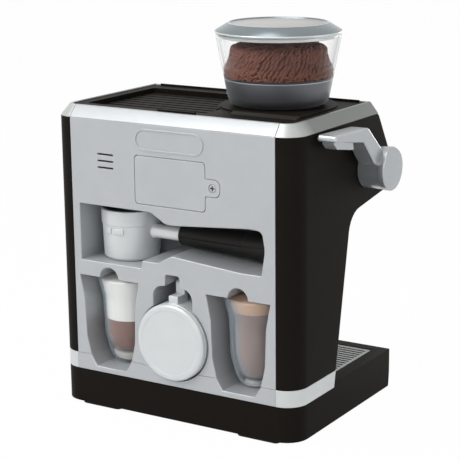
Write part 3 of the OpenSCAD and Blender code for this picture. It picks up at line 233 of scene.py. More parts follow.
# finishes of single pieces that differ from their slot's
extras = {
    # the lid's flat middle, left as moulded in warm grey
    "lidDish": moulded("mouldedWarmGreyAbs", "#b4b2af", 0.45, (0.5, 0.006), metallic=0.1),
    # the lid's bevel and ring in a darker silver than the lid: painted dark reflection, long and grey
    "lidSilver": moulded("darkLacqueredAbs", "#7e878b", 0.24, (0.8, 0.002), metallic=0.8),
    # the side trims' lacquer with painted shade: bright round the rear corners, darkening to grey along the
    # sides
    "sideTrim": shadedAlongY(moulded("thinnedLacquerAbs", "#b9bcba", 0.34, (0.6, 0.006), metallic=0.5),
                        "#767a77", 70, 50),
    # the grille's lacquer: one thin coat, so a greyer silver
    "grilleSilver": moulded("greyLacqueredAbs", "#a4a7a5", 0.34, (0.6, 0.006), metallic=0.4),
    # the panel's own chamfer, painted a little darker than the flat as shade, with the same polish
    "chamferSilver": moulded("pigmentedChamferAbs", "#b0b3b5", 0.4, (0.4, 0.006), metallic=0.3),
    # the play glasses: clear with a cool cast that gathers along the rims
    "clearGlass": clearMoulding("clearAcrylic", "#c3ced8", 0.05, 0.02, 0.85, 2.6),
    # the thick clear base of a glass as a pale, half-solid lens: a painted glow for the light the base gathers
    "clearBase": clearMoulding("thickClearPolystyrene", "#fbf9f4", 0.08, 0.6, 0.9),
    # the insert's top edge in a brighter, glossier lacquer as a painted highlight, and a dark band over it as
    # painted shade
    "brightRim": moulded("polishedLacqueredEdge", "#c3c8cb", 0.25, (0.8, 0.001), metallic=0.6),
    "darkSeam": moulded("shadowedPaintedEdge", "#23262b", 0.5, (0.8, 0.002), mottle=0.05),
    # the same black ABS, painted a shade lighter for the light its slope catches, and with a soft shine
    "polishedBlack": moulded("polishedBlackAbs", "#2b2824", 0.4, (0.8, 0.003), mottle=0.05, gloss=0.12),
    # the neck's lacquer painted near white: a painted highlight, brighter than the holder's silver
    "neckSilver": moulded("rubbedLacquerAbs", "#f2f3f3", 0.24, (0.9, 0.001), mottle=0.01, metallic=0.15),
    # ink printed on card: flat black; the same black is painted shade at the bottom of the screw's cross
    "ink": moulded("printedInk", "#1c1c1c", 0.6, (0.3, 0.002), mottle=0.05, gloss=0.3),
}
for node, obj in frame["nodes"].items():
    obj.data.materials.clear()
    obj.data.materials.append(materials[slotOf[node]])
print("materials made:", len(materials) + len(extras))


def rounded(corners, steps=8):
    # closed outline from corners (x, y, radius)
    points = []
    for i, (x, y, radius) in enumerate(corners):
        at = Vector((x, y))
        if radius == 0:
            points.append(at)
            continue
        before = (Vector(corners[i - 1][:2]) - at).normalized()
        after = (Vector(corners[(i + 1) % len(corners)][:2]) - at).normalized()
        half = before.angle(after) / 2
        middle = at + (before + after).normalized() * radius / sin(half)
        first = at + before * radius / tan(half) - middle
        last = at + after * radius / tan(half) - middle
        start = atan2(first.y, first.x)
        sweep = (atan2(last.y, last.x) - start + 3 * pi) % (2 * pi) - pi
        for k in range(steps + 1):
            turn = start + sweep * k / steps
            points.append(middle + radius * Vector((cos(turn), sin(turn))))
    return points


def rectangle(x0, x1, y0, y1, radius=0.0, steps=8):
    return rounded([(x0, y0, radius), (x1, y0, radius), (x1, y1, radius), (x0, y1, radius)], steps)


def arc(cx, cy, radius, fromDeg, toDeg, steps):
    turns = [radians(fromDeg + (toDeg - fromDeg) * k / steps) for k in range(steps + 1)]
    return [Vector((cx + radius * cos(a), cy + radius * sin(a))) for a in turns]


def circle(radius, count=36):
    return arc(0, 0, radius, 0, 360 - 360 / count, count - 1)


def grown(points, distance):
    # the closed outline with each edge moved out by "distance"
    area = sum(a.x * b.y - b.x * a.y for a, b in zip(points, points[1:] + points[:1]))
    side = 1 if area > 0 else -1
    wider = []
    for i, at in enumerate(points):
        before = (at - points[i - 1]).normalized()
        after = (points[(i + 1) % len(points)] - at).normalized()
        outBefore = Vector((before.y, -before.x)) * side
        outAfter = Vector((after.y, -after.x)) * side
        middle = (outBefore + outAfter).normalized()
        wider.append(at + middle * distance / max(0.5, middle.dot(outBefore)))
    return wider


# A shape is (points, faces), in mm and in the working frame.
def joined(*shapes):
    points, faces = [], []
    for shapePoints, shapeFaces in shapes:
        base = len(points)
        points += shapePoints
        faces += [[base + i for i in face] for face in shapeFaces]
    return points, faces


def moved(shape, matrix):
    return [matrix @ Vector(p) for p in shape[0]], shape[1]


def shifted(shape, x, y, z):
    return moved(shape, Matrix.Translation((x, y, z)))


def stood(shape, at, turn, axis):
    # turns a shape by degrees about an axis through its origin, then sets that origin down at a point
    return moved(shape, Matrix.Translation(at) @ Matrix.Rotation(radians(turn), 4, axis))


def formOf(shape):
    form = bmesh.new()
    corners = [form.verts.new(p) for p in shape[0]]
    for face in shape[1]:
        if len(set(face)) > 2 and form.faces.get([corners[i] for i in face]) is None:
            form.faces.new([corners[i] for i in face])
    return form


def shapeFrom(form):
    form.verts.index_update()
    shape = [v.co.copy() for v in form.verts], [[v.index for v in face.verts] for face in form.faces]
    form.free()
    return shape


def solidOf(node):
    # a copy of a CAD node's form, with the triangles of each flat face joined
    form = bmesh.new()
    form.from_mesh(frame["nodes"][node].data)
    bmesh.ops.remove_doubles(form, verts=form.verts, dist=0.01 * mm)
    bmesh.ops.dissolve_limit(form, angle_limit=radians(0.5), verts=form.verts, edges=form.edges)
    form.transform(seat.inverted())
    return shapeFrom(form)


def lofted(rings, closed=False, caps=False):
    # skin over rings of points; a ring of one point closes to a tip
    points, starts, faces = [], [], []
    for ring in rings:
        starts.append((len(points), len(ring)))
        points += ring
    pairs = list(zip(starts, starts[1:])) + ([(starts[-1], starts[0])] if closed else [])
    for (a, countA), (b, countB) in pairs:
        for k in range(max(countA, countB)):
            face = [a + k % countA, a + (k + 1) % countA, b + (k + 1) % countB, b + k % countB]
            face = [v for i, v in enumerate(face) if v not in face[:i]]
            if len(face) > 2:
                faces.append(face)
    if caps:
        faces.append([starts[0][0] + k for k in range(starts[0][1])])
        faces.append([starts[-1][0] + k for k in range(starts[-1][1])])
    return points, faces


def turned(line, steps=96, closed=False, ripple=None):
    # turns a line of (radius, z) about Z; ripple(angle, z) is added to the radius
    rings = []
    turns = [2 * pi * k / steps for k in range(steps)]
    for radius, z in line:
        if radius < 0.001:
            rings.append([Vector((0, 0, z))])
            continue
        reach = [radius + (ripple(a, z) if ripple else 0) for a in turns]
        rings.append([Vector((r * cos(a), r * sin(a), z)) for r, a in zip(reach, turns)])
    return lofted(rings, closed)


def pressed(outline, low, high, along):
    # extrudes an outline along x (from y, z), along y (from x, z) or along z (from x, y)
    axes = {"x": lambda p, d: Vector((d, p.x, p.y)), "y": lambda p, d: Vector((p.x, d, p.y)),
            "z": lambda p, d: Vector((p.x, p.y, d))}
    return lofted([[axes[along](p, level) for p in outline] for level in (low, high)], caps=True)


def lippedPlate(outer, holes, depth, steps=4):
    # plate with its face at y = 0; outer and each hole are (outline in x and z, radius of its lip)
    loops = [(outer[0], outer[1], -1)] + [(outline, lip, 1) for outline, lip in holes]
    shapes = []
    for outline, lip, sign in loops:
        rings = []
        for k in range(steps + 1):
            turn = pi / 2 * k / steps
            ring = grown(outline, sign * lip * (1 - sin(turn)))
            rings.append([Vector((p.x, -lip * (1 - cos(turn)), p.y)) for p in ring])
        rings.append([Vector((p.x, -depth, p.y)) for p in outline])
        shapes.append(lofted(rings))
    for lipShare, y in ((1, 0), (0, -depth)):
        flat = [[Vector((p.x, p.y, 0)) for p in grown(outline, sign * lip * lipShare)]
                for outline, lip, sign in loops]
        shapes.append(([Vector((p.x, y, p.y)) for loop in flat for p in loop],
                       [list(face) for face in tessellate_polygon(flat)]))
    return joined(*shapes)


def scored(shape, height, width, depth):
    # presses a V-shaped line across the face at y = 0
    form = formOf(shape)
    for level in (height - width / 2, height, height + width / 2):
        everything = form.verts[:] + form.edges[:] + form.faces[:]
        bmesh.ops.bisect_plane(form, geom=everything, plane_co=(0, 0, level), plane_no=zAxis, dist=0.0001)
    for corner in form.verts:
        if abs(corner.co.z - height) < 0.001 and corner.co.y > -1:
            corner.co.y -= depth
    return shapeFrom(form)


def addObject(name, data):
    obj = bpy.data.objects.new(name, data)
    bpy.context.scene.collection.objects.link(obj)
    return obj


def addPiece(name, shape, slotName, body, nodes=(), edge=0.0, finish=None, sharpDeg=40, edgeDeg=35,
             flatFaces=False):
    # a shape becomes a piece that rides on a body and stands for CAD nodes; edge rounds its edges by
    # so many mm, finish names an extra material, and flatFaces keeps the lips from shading the flats
    form = formOf(shape)
    bmesh.ops.remove_doubles(form, verts=form.verts, dist=0.002)
    bmesh.ops.recalc_face_normals(form, faces=form.faces)
    form.transform(seat)
    mesh = bpy.data.meshes.new(name)
    form.to_mesh(mesh)
    form.free()
    mesh.materials.append(extras[finish] if finish else materials[slotName])
    mesh.shade_smooth()
    mesh.set_sharp_from_angle(angle=radians(sharpDeg))
    piece = addObject(name, mesh)
    if edge:
        bevel = piece.modifiers.new("rounded edges", "BEVEL")
        bevel.width = edge * mm
        bevel.segments = 3
        bevel.limit_method = "ANGLE"
        bevel.angle_limit = radians(edgeDeg)
        bevel.use_clamp_overlap = True
        bevel.harden_normals = True
    if flatFaces:
        weighted = piece.modifiers.new("flat faces", "WEIGHTED_NORMAL")
        weighted.keep_sharp = True
        weighted.weight = 100
    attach(piece, body)
    for node in nodes:
        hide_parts(node)
    return piece


def standFor(node, shape, name=None, **options):
    # a piece that replaces one CAD node, takes its body and slot, and is named after it
    words = node.split("_")
    name = name or words[0] + "".join(word.capitalize() for word in words[1:])
    return addPiece(name, shape, slotOf[node], bodyOf[node], [node], **options)


# The rear panel: one silver moulding with lips rolled into its openings, and its own length of the
# chamfer above it. An outline's corners are (x, z, rounding), the chamfer's are (y, z, rounding).
panel = {"halfWidth": 92.4, "bottom": 28.0, "top": 233.0, "thickness": 2.4, "edge": 0.4, "lip": 0.8,
         "fineLip": 0.3, "seamHeight": 41.3, "seamWidth": 0.7, "seamDepth": 0.5}
chamfer = {"halfWidth": 92.0,
           "line": [(0, 233.0, 0.3), (-7.3, 242.0, 0.8), (-9.7, 242.0, 0), (-9.7, 239.1, 0), (-2.4, 233.0, 0)]}
cupWell = {"centre": 59.5, "floor": 32.5, "height": 74.4, "space": 3.2, "notch": 8.8}
jugWell = {"x": -0.5, "z": 64.6, "radius": 32.0, "fingerHalf": 18.0, "fingerTop": 108.1, "fingerRound": 9.0,
           "slotHalf": 6.45, "slotTop": 117.4, "slotRound": 2.0}
holderWell = [(85.7, 119.6, 0.6), (85.7, 165.2, 0.6), (18.5, 165.2, 9), (4.5, 157, 9), (-3.5, 157, 6),
              (-69, 162.4, 14), (-80.8, 161.8, 5), (-83.4, 147.4, 22), (-80.2, 128, 1), (-61, 128, 10),
              (0, 132.8, 4), (12.5, 125.8, 6), (27.1, 125.8, 1), (28.5, 119.6, 0.6)]
door = {"halfWidth": 31.85, "halfHeight": 18.7, "z": 189.7, "corner": 3.0, "tab": 13.0, "tabHalf": 6.55,
        "tabCorner": 5.0, "tabRoot": 1, "gap": 0.4, "thickness": 2.1, "edge": 0.35}
slots = {"fromX": 52.0, "toX": 67.0, "z": 201.0, "pitch": 5.25, "halfHeight": 0.7, "round": 0.6}
badge = {"z": 221.2, "halfWidth": 31.0, "halfHeight": 8.5, "line": 1.3, "proud": 0.7, "sunk": 0.1,
         "lip": 0.3, "innerLip": 0.25}
# the wells follow the glasses, whose side is (radius, height, rounding)
glass = {"side": [(11.1, 0, 0), (16.3, 8.58, 12), (20.1, 24.31, 20), (21.1, 54.34, 25)], "lip": 25.0,
         "lipRound": 0.6, "height": 71.5, "lift": 0.4, "y": -27.0}


def cupOpening(centre):
    side = [(radius + cupWell["space"], z, bend) for radius, z, bend in glass["side"]]
    side.append((glass["lip"] + cupWell["space"], cupWell["height"], 0))
    right = rounded(side)
    notch = arc(0, cupWell["height"], cupWell["notch"], 0, 180, 28)
    left = [Vector((-p.x, p.y)) for p in reversed(right)]
    return [p + Vector((centre, cupWell["floor"])) for p in right + notch + left]


def jugOpening():
    w = jugWell
    meet = degrees(acos(w["fingerHalf"] / w["radius"]))
    lower = arc(w["x"], w["z"], w["radius"], 180 - meet, 360 + meet, 72)
    upper = [(w["fingerHalf"], w["fingerTop"], w["fingerRound"]),
             (w["slotHalf"], w["fingerTop"], w["slotRound"]), (w["slotHalf"], w["slotTop"], w["slotRound"])]
    upper += [(-x, z, bend) for x, z, bend in reversed(upper)]
    return rounded([(p.x, p.y, 0) for p in lower] + [(w["x"] + x, z, bend) for x, z, bend in upper])


def doorOutline(grow):
    w, h, tabHalf = door["halfWidth"] + grow, door["halfHeight"] + grow, door["tabHalf"] + grow
    corner, tip, root = door["corner"], door["tabCorner"], door["tabRoot"]
    corners = [(w, -h, corner), (w, h, corner), (-w, h, corner), (-w, tabHalf, root),
               (-w - door["tab"], tabHalf, tip), (-w - door["tab"], -tabHalf, tip), (-w, -tabHalf, root),
               (-w, -h, corner)]
    return rounded([(x, door["z"] + z, bend) for x, z, bend in corners])


def badgeOutline(inset):
    # its ends stop a hair short of half circles, so that no two of its points meet
    w, h = badge["halfWidth"] - inset, badge["halfHeight"] - inset
    return rectangle(-w, w, badge["z"] - h, badge["z"] + h, h - 0.01, 16)


wells = [cupOpening(cupWell["centre"]), cupOpening(-cupWell["centre"]), jugOpening(), rounded(holderWell)]
holes = [(outline, panel["lip"]) for outline in wells]
holes.append((doorOutline(door["gap"]), panel["fineLip"]))
for i in (-1, 0, 1):
    z = slots["z"] + i * slots["pitch"]
    slot = rectangle(slots["fromX"], slots["toX"], z - slots["halfHeight"], z + slots["halfHeight"],
                     slots["round"])
    holes.append((slot, panel["fineLip"]))
plateEdge = rectangle(-panel["halfWidth"], panel["halfWidth"], panel["bottom"], panel["top"])
panelFace = scored(lippedPlate((plateEdge, panel["edge"]), holes, panel["thickness"]),
                   panel["seamHeight"], panel["seamWidth"], panel["seamDepth"])
badgeRing = lippedPlate((badgeOutline(0), badge["lip"]), [(badgeOutline(badge["line"]), badge["innerLip"])],
                        badge["proud"] + badge["sunk"])
standFor("rear_panel", joined(panelFace, shifted(badgeRing, 0, badge["proud"], 0)), flatFaces=True)
edge = pressed(rounded(chamfer["line"], 4), -chamfer["halfWidth"], chamfer["halfWidth"], "x")
addPiece("rearChamfer", edge, "silver_shell", "housing", finish="chamferSilver")

# The door's screw: a cross is pressed into a low domed head. A quarter of the cross is given; under,
# stem and floor are discs (radius, y from, y to, count of sides). The floor is black, painted shade seen
# through the cross.
screw = {"x": -door["halfWidth"] - door["tab"] / 2, "head": 3.0, "headLip": 0.35, "headDepth": 0.6,
         "gap": 0.3, "holeLip": 0.2, "sunk": 0.1, "crossLip": 0.1, "cross": ((2, 0.5), (0.5, 0.5), (0.5, 2)),
         "under": (2.6, -0.9, -0.55), "stem": (1.5, -7.0, -0.6, 24), "floor": (2.3, -0.54, -0.44)}


def screwDisc(radius, low, high, count=36):
    return pressed(circle(radius, count), low, high, "y")


def atScrew(shape):
    return shifted(shape, screw["x"], -screw["sunk"], door["z"])


screwHole = [Vector((p.x + screw["x"], p.y + door["z"])) for p in circle(screw["head"] + screw["gap"])]
standFor("battery_door", lippedPlate((doorOutline(0), door["edge"]), [(screwHole, screw["holeLip"])],
                                     door["thickness"], 3), flatFaces=True)
cross = [Vector((x * c - y * s, x * s + y * c)) for c, s in ((1, 0), (0, 1), (-1, 0), (0, -1))
         for x, y in screw["cross"]]
screwTop = lippedPlate((circle(screw["head"]), screw["headLip"]), [(cross, screw["crossLip"])],
                       screw["headDepth"], 3)
screwBody = joined(screwTop, screwDisc(*screw["under"]), screwDisc(*screw["stem"]))
standFor("battery_door_screw", atScrew(screwBody))
# the floor disc in black ink: painted shade at the bottom of the cross
addPiece("batteryDoorScrewRecess", atScrew(screwDisc(*screw["floor"])), "steel", "battery_door_screw",
         finish="ink")
print("rear panel and door made")

# The shells keep the solids' forms and get the soft edges of a moulding, each with its own radius in mm.
shellEdges = {"left_side_shell": 0.7, "right_side_shell": 0.7, "left_band": 0.35, "right_band": 0.35,
              "left_top_trim": 0.45, "right_top_trim": 0.45, "base": 1.6, "base_plate": 0.5, "feet": 0.8,
              "top_cover": 0.35, "control_panel": 0.5, "head_underside": 0.5, "column_front": 0.4,
              "drip_grille": 0.45, "drip_tray": 0.5, "grinder_outlet": 0.6, "group_head": 0.8,
              "portafilter_well": 0.0, "latte_well": 0.0, "cappuccino_well": 0.0, "jug_well": 0.0}
shellFinishes = {"left_top_trim": "sideTrim", "right_top_trim": "sideTrim", "drip_grille": "grilleSilver"}
for node, edge in shellEdges.items():
    standFor(node, solidOf(node), edge=edge, finish=shellFinishes.get(node))
print("shells made:", len(shellEdges))

# The hopper: a clear tapered bowl over a painted insert, a mound of beans and a dished lid.
hopper = {"x": -47.4, "y": -83.0, "z": 242.4, "foot": 38.4, "heel": 9.0, "mouth": 48.9, "height": 54.4,
          "wall": 1.8, "lip": 0.8, "steps": 144}
# the bowl's wall magnifies what is behind it, so the filling is drawn out to just under its outer
# face; rim and seam are closed lines (radius, z) from the insert's top edge, a painted highlight along
# that edge and a band of painted shade above it
insert = {"height": 21.0, "under": 0.3, "edge": 0.5, "rimWidth": 1.2, "rimFoot": 1.6, "rimDepth": 0.8,
          "rim": [(-0.1, -0.9), (0.06, -0.7), (0.08, -0.3), (-0.3, 0.06), (-0.9, 0.04)],
          "seam": [(-2.0, -0.4), (-0.1, 0.1), (0.12, 0.3), (0.25, 1.4), (-2.0, 1.4)]}


def atHopper(shape, z=0.0):
    return shifted(shape, hopper["x"], hopper["y"], hopper["z"] + z)


def hopperRing(line, z=0.0, closed=False):
    return atHopper(turned(line, hopper["steps"], closed), z)


def bowlRadius(z):
    return hopper["foot"] + (hopper["mouth"] - hopper["foot"]) * z / hopper["height"]


wall, lip = hopper["wall"], hopper["lip"]
bowlLine = rounded([(0, 0, 0), (hopper["foot"], 0, hopper["heel"]), (hopper["mouth"], hopper["height"], lip),
                    (hopper["mouth"] - wall, hopper["height"], lip),
                    (bowlRadius(wall) - wall, wall, hopper["heel"] - wall), (0, wall, 0)])
standFor("hopper_bowl", hopperRing(bowlLine))
under, top = insert["under"], insert["height"]
edge = bowlRadius(top) - under
insertLine = rounded([(0, under, 0), (hopper["foot"] - under, under, hopper["heel"] - under),
                      (edge, top, insert["edge"]), (edge - insert["rimWidth"], top, 0.4),
                      (edge - insert["rimFoot"], top - insert["rimDepth"], 0.2),
                      (0, top - insert["rimDepth"], 0)])
standFor("hopper_insert", hopperRing(insertLine))
# the insert's painted highlight and its band of painted shade
for name, line, finish in (("insertRim", "rim", "brightRim"), ("insertSeam", "seam", "darkSeam")):
    ring = hopperRing([(edge + radius, z) for radius, z in insert[line]], top, closed=True)
    addPiece(name, ring, "grey_metallic", "housing", finish=finish)

# the seat's sloping edge behind the bowl, in a painted lighter and glossier black; its line is (y, z)
seatEdge = {"fromX": -93.2, "toX": -36.0, "edge": 0.3,
            "line": [(-29.7, 241.2), (-34.0, 243.3), (-36.0, 242.4), (-36.0, 241.2)]}
seatLine = [Vector(p) for p in seatEdge["line"]]
addPiece("hopperSeatEdge", pressed(seatLine, seatEdge["fromX"], seatEdge["toX"], "x"), "black_shell",
         "housing", edge=seatEdge["edge"], finish="polishedBlack")

# The beans lie in rows (radius, z) up the mound's side and round its top, over a plain core. They lean
# by degrees: lean and sway in the tidy rows, tumble in the lowest ones, which lie anyhow.
beans = {"length": 8.4, "width": 3.3, "rise": 2.7, "creaseDepth": 0.45, "creaseWidth": 0.22, "seed": 7,
         "foot": [(0, 0), (40.2, 0), (40.2, 2.2)], "coreIn": 1.2, "coreDown": 0.6, "coreTop": 1.4,
         "side": [(40.7, 2.4), (41.0, 5.4), (40.8, 8.0), (38.6, 11.8), (37.5, 15.4), (36.6, 19.0),
                  (35.4, 22.4)],
         "top": [(31.6, 24.9), (26.5, 25.3), (22.0, 25.5), (17.0, 25.6), (12.0, 25.7), (7.0, 25.8)],
         "sidePitch": 1.02, "topPitch": 7.0, "sink": 1.0, "size": (0.85, 1.05), "lean": -32, "sway": 9,
         "tumbledRows": 2, "tumble": 75}
chance = random.Random(beans["seed"])


def beanForm(length, width, rise, ringCount=9, pointCount=10):
    # half of a roasted bean: a low oval dome with the crease along its back
    rings = []
    for i in range(ringCount):
        t = -1 + 2 * i / (ringCount - 1)
        reach = sqrt(max(0.0, 1 - t * t)) ** 0.8
        if reach < 0.01:
            rings.append([Vector((t * length / 2, 0, 0))])
            continue
        ring = []
        for k in range(pointCount):
            a = 2 * pi * k / pointCount
            y, z = cos(a) * reach, sin(a) * reach
            crease = beans["creaseDepth"] * exp(-(y / beans["creaseWidth"]) ** 2) * reach if z > 0 else 0
            ring.append(Vector((t * length / 2, y * width / 2, (z - crease) * rise)))
        rings.append(ring)
    return lofted(rings)


def placedBean(at, outward, along):
    size = chance.uniform(*beans["size"])
    across = outward.cross(along).normalized()
    along = across.cross(outward).normalized()
    frameOf = Matrix((along, across, outward)).transposed().to_4x4()
    shape = beanForm(beans["length"] * size, beans["width"] * size, beans["rise"])
    return moved(shape, Matrix.Translation(at) @ frameOf)


def beanMound():
    side, top, sink = beans["side"], beans["top"], beans["sink"]
    core = beans["foot"] + [(radius - beans["coreIn"], z - beans["coreDown"]) for radius, z in side]
    core.append((0, top[0][1] - beans["coreTop"]))
    shapes = [turned([Vector(p) for p in core], 72)]
    for row, (radius, z) in enumerate(side):
        nextRadius, nextZ = (side + top)[row + 1]
        slope = Vector((nextRadius - radius, 0, nextZ - z)).normalized()
        count = round(2 * pi * radius / (beans["width"] * beans["sidePitch"]))
        for k in range(count):
            turn = 2 * pi * (k + 0.5 * (row % 2)) / count + chance.uniform(-0.02, 0.02)
            spin = Matrix.Rotation(turn, 3, "Z")
            up, outward = spin @ slope, spin @ Vector((slope.z, 0, -slope.x))
            if row < beans["tumbledRows"]:
                lean = radians(chance.uniform(-beans["tumble"], beans["tumble"]))
            else:
                lean = radians(beans["lean"] + chance.uniform(-beans["sway"], beans["sway"]))
            along = Matrix.Rotation(lean, 3, outward) @ up
            at = spin @ Vector((radius - sink + chance.uniform(-0.5, 0.3), 0, z + chance.uniform(-0.5, 0.5)))
            shapes.append(placedBean(at, outward, along))
    for radius, z in top:
        count = max(3, round(2 * pi * radius / beans["topPitch"]))
        for k in range(count):
            turn = 2 * pi * k / count + chance.uniform(-0.2, 0.2)
            height = z - sink + chance.uniform(-0.6, 0.6)
            at = Vector((radius * cos(turn), radius * sin(turn), height))
            lean = chance.uniform(0, pi)
            along = Vector((cos(lean), sin(lean), chance.uniform(-0.15, 0.15)))
            shapes.append(placedBean(at, zAxis, along))
    return joined(*shapes)


standFor("bean_mound", atHopper(beanMound(), insert["height"]), sharpDeg=60)

# The lid: a bevel round a dished flat, over a plug that fits the bowl's mouth. The body is turned from
# corners (radius, height, rounding). Ring, dish and bevel are thin sheets over it: the dish in warm grey,
# ring and bevel in darker silver as painted dark reflection, stopping short of the rim, which keeps the lid's
# silver.
lid = {"lift": 54.8, "flat": (38.3, 8.9), "rim": (49.6, 2.2),
       "body": [(0, 7.6, 0), (36.3, 7.6, 0.8), (37.4, 8.9, 0.3), (38.3, 8.9, 0.5), (49.6, 2.2, 0.9),
                (48.0, 0, 0.4), (46.0, 0, 0), (46.0, -2.4, 0.5), (44.4, -2.4, 0.3), (44.4, 0.6, 1),
                (35.1, 6.0, 1), (0, 6.0, 0)],
       "ring": [(36.4, 7.28), (36.35, 7.68), (37.35, 8.95), (38.2, 8.95), (38.0, 8.4)],
       "dish": [(0, 7.68), (35.7, 7.68), (35.9, 7.53), (0, 7.18)],
       "bevel": [(0.05, 0.0), (0.07, 0.07), (0.92, 0.07), (0.94, 0.0), (0.5, -0.3)]}


def onBevel(share, out):
    # a point above the lid's bevel, by its share of the way from the flat to the rim
    edge, slope = Vector(lid["flat"]), Vector(lid["rim"]) - Vector(lid["flat"])
    return edge + share * slope + Vector((-slope.y, slope.x)).normalized() * out


standFor("hopper_lid", hopperRing(rounded(lid["body"]), lid["lift"]))
for name, line, finish in (("lidRing", lid["ring"], "lidSilver"), ("lidDish", lid["dish"], "lidDish"),
                           ("lidBevel", [onBevel(*point) for point in lid["bevel"]], "lidSilver")):
    addPiece(name, hopperRing(line, lid["lift"], closed=True), "silver_trim", "hopper_lid", finish=finish)
print("hopper made")

# The tamping lever: a hub, a bent arm and the pad under it in one silver moulding. The hub is turned
# from corners (radius, height, rounding), arm and pad are (y, z) in shares of the reach.
lever = {"x": -133.2, "y": -111.2, "z": 194.6, "armX": (-128.6, -112.6), "armEdge": 1.7, "reach": 85.0,
         "hub": [(0, 0, 0), (17.2, 0, 1.1), (17.2, 5.4, 0.3), (16.6, 5.9, 0.3), (16.6, 22.8, 0.5),
                 (0, 22.8, 0)],
         "arm": [(0, 0.094), (0.126, 0.206), (0.387, 0.431), (0.995, 0.449), (1.011, 0.395), (0.464, 0.307),
                 (0.254, 0.086), (0.094, 0)],
         "pad": [(0.606, 0.264), (0.92, 0.318), (0.968, 0.362), (0.993, 0.42), (0.647, 0.4)],
         "padX": (-126.1, -115.1), "padEdge": 1.3}
hub = turned(rounded(lever["hub"]), 112)
standFor("tamping_lever", stood(hub, (lever["x"], lever["y"], lever["z"]), 90, "Y"), "leverHub")
for name, key in (("leverArm", "arm"), ("leverPad", "pad")):
    bar = pressed([lever["reach"] * Vector(p) for p in lever[key]], *lever[key + "X"], "x")
    addPiece(name, shifted(bar, 0, lever["y"], lever["z"]), "lever_silver", "lever", edge=lever[key + "Edge"])
print("lever made")

# The filter holder: a tapered basket with a stepped collar, lugs, its neck and the black handle.
# Basket and neck are turned from corners (radius, height, rounding).
holder = {"x": 58.0, "y": -31.0, "z": 120.0, "neckX": 9.0, "gripZ": 142.4,
          "basket": [(0, 0, 0), (20.8, 0, 0.2), (20.8, 1.1, 0.1), (22.4, 1.1, 1.0), (23.4, 27.4, 0.2),
                     (23.1, 27.8, 0.1), (24.0, 28.3, 0.3), (24.3, 40.0, 0.8), (22.5, 40.0, 0.7),
                     (20.8, 3.0, 1.5), (0, 3.0, 0)],
          "neck": [(0, 0, 0), (5.4, 0, 0.6), (5.4, 24.5, 3), (7.0, 28.0, 0.5), (7.0, 30.4, 0), (0, 30.4, 0)]}
# a lug on each side is split by a slit; each of the four parts spans from one angle to another
lug = {"section": [(22.5, 21.8, 0), (24.6, 21.8, 0.4), (24.6, 26.2, 0.4), (22.5, 26.2, 0)], "steps": 14,
       "spans": [(73, 83), (85, 109), (253, 263), (265, 289)]}
handle = {"start": 9.0, "length": 87.4, "root": 8.3, "rootRound": 1.4, "swell": 11.2, "partingDepth": 0.35,
          "partingHalf": 0.02, "grooves": (3.2, 60.0), "grooveHalf": 0.5, "grooveDepth": 0.3, "taper": 0.3,
          "end": [(11.2, 79.4, 12), (10.2, 85.9, 2.5), (6.7, 87.4, 2), (0, 87.4, 0)]}


def lugPart(fromDeg, toDeg):
    section, rings = rounded(lug["section"], 4), []
    for k in range(lug["steps"] + 1):
        turn = radians(fromDeg + (toDeg - fromDeg) * k / lug["steps"])
        rings.append([Vector((p.x * cos(turn), p.x * sin(turn), p.y)) for p in section])
    return lofted(rings, caps=True)


basket = joined(turned(rounded(holder["basket"], 5), 128), *[lugPart(*span) for span in lug["spans"]])
standFor("portafilter_basket", shifted(basket, holder["x"], holder["y"], holder["z"]), "filterHolderBasket")
neck = stood(turned(rounded(holder["neck"], 6), 64), (holder["neckX"], holder["y"], holder["gripZ"]), 90, "Y")
addPiece("filterHolderNeck", neck, "holder_silver", bodyOf["portafilter_basket"], finish="neckSilver")


def partingLine(angle, z):
    # the two halves of the handle's mould meet at its widest, front and back, all along z
    nearest = min(abs(angle - pi / 2), abs(angle - 3 * pi / 2))
    return -handle["partingDepth"] if nearest < handle["partingHalf"] else 0.0


root, grooveHalf = handle["root"] + handle["taper"], handle["grooveHalf"]
handleCorners = [(0, 0, 0), (handle["root"], 0, handle["rootRound"])]
for groove in handle["grooves"]:
    radius = root + (handle["swell"] - root) * groove / handle["length"]
    handleCorners += [(radius, groove - grooveHalf, 0.1), (radius - handle["grooveDepth"], groove, 0.1),
                      (radius, groove + grooveHalf, 0.1)]
handleShape = turned(rounded(handleCorners + handle["end"], 5), 128, ripple=partingLine)
standFor("portafilter_handle", stood(handleShape, (handle["start"], holder["y"], holder["gripZ"]), -90, "Y"),
         "filterHolderHandle", sharpDeg=25)
print("filter holder made")

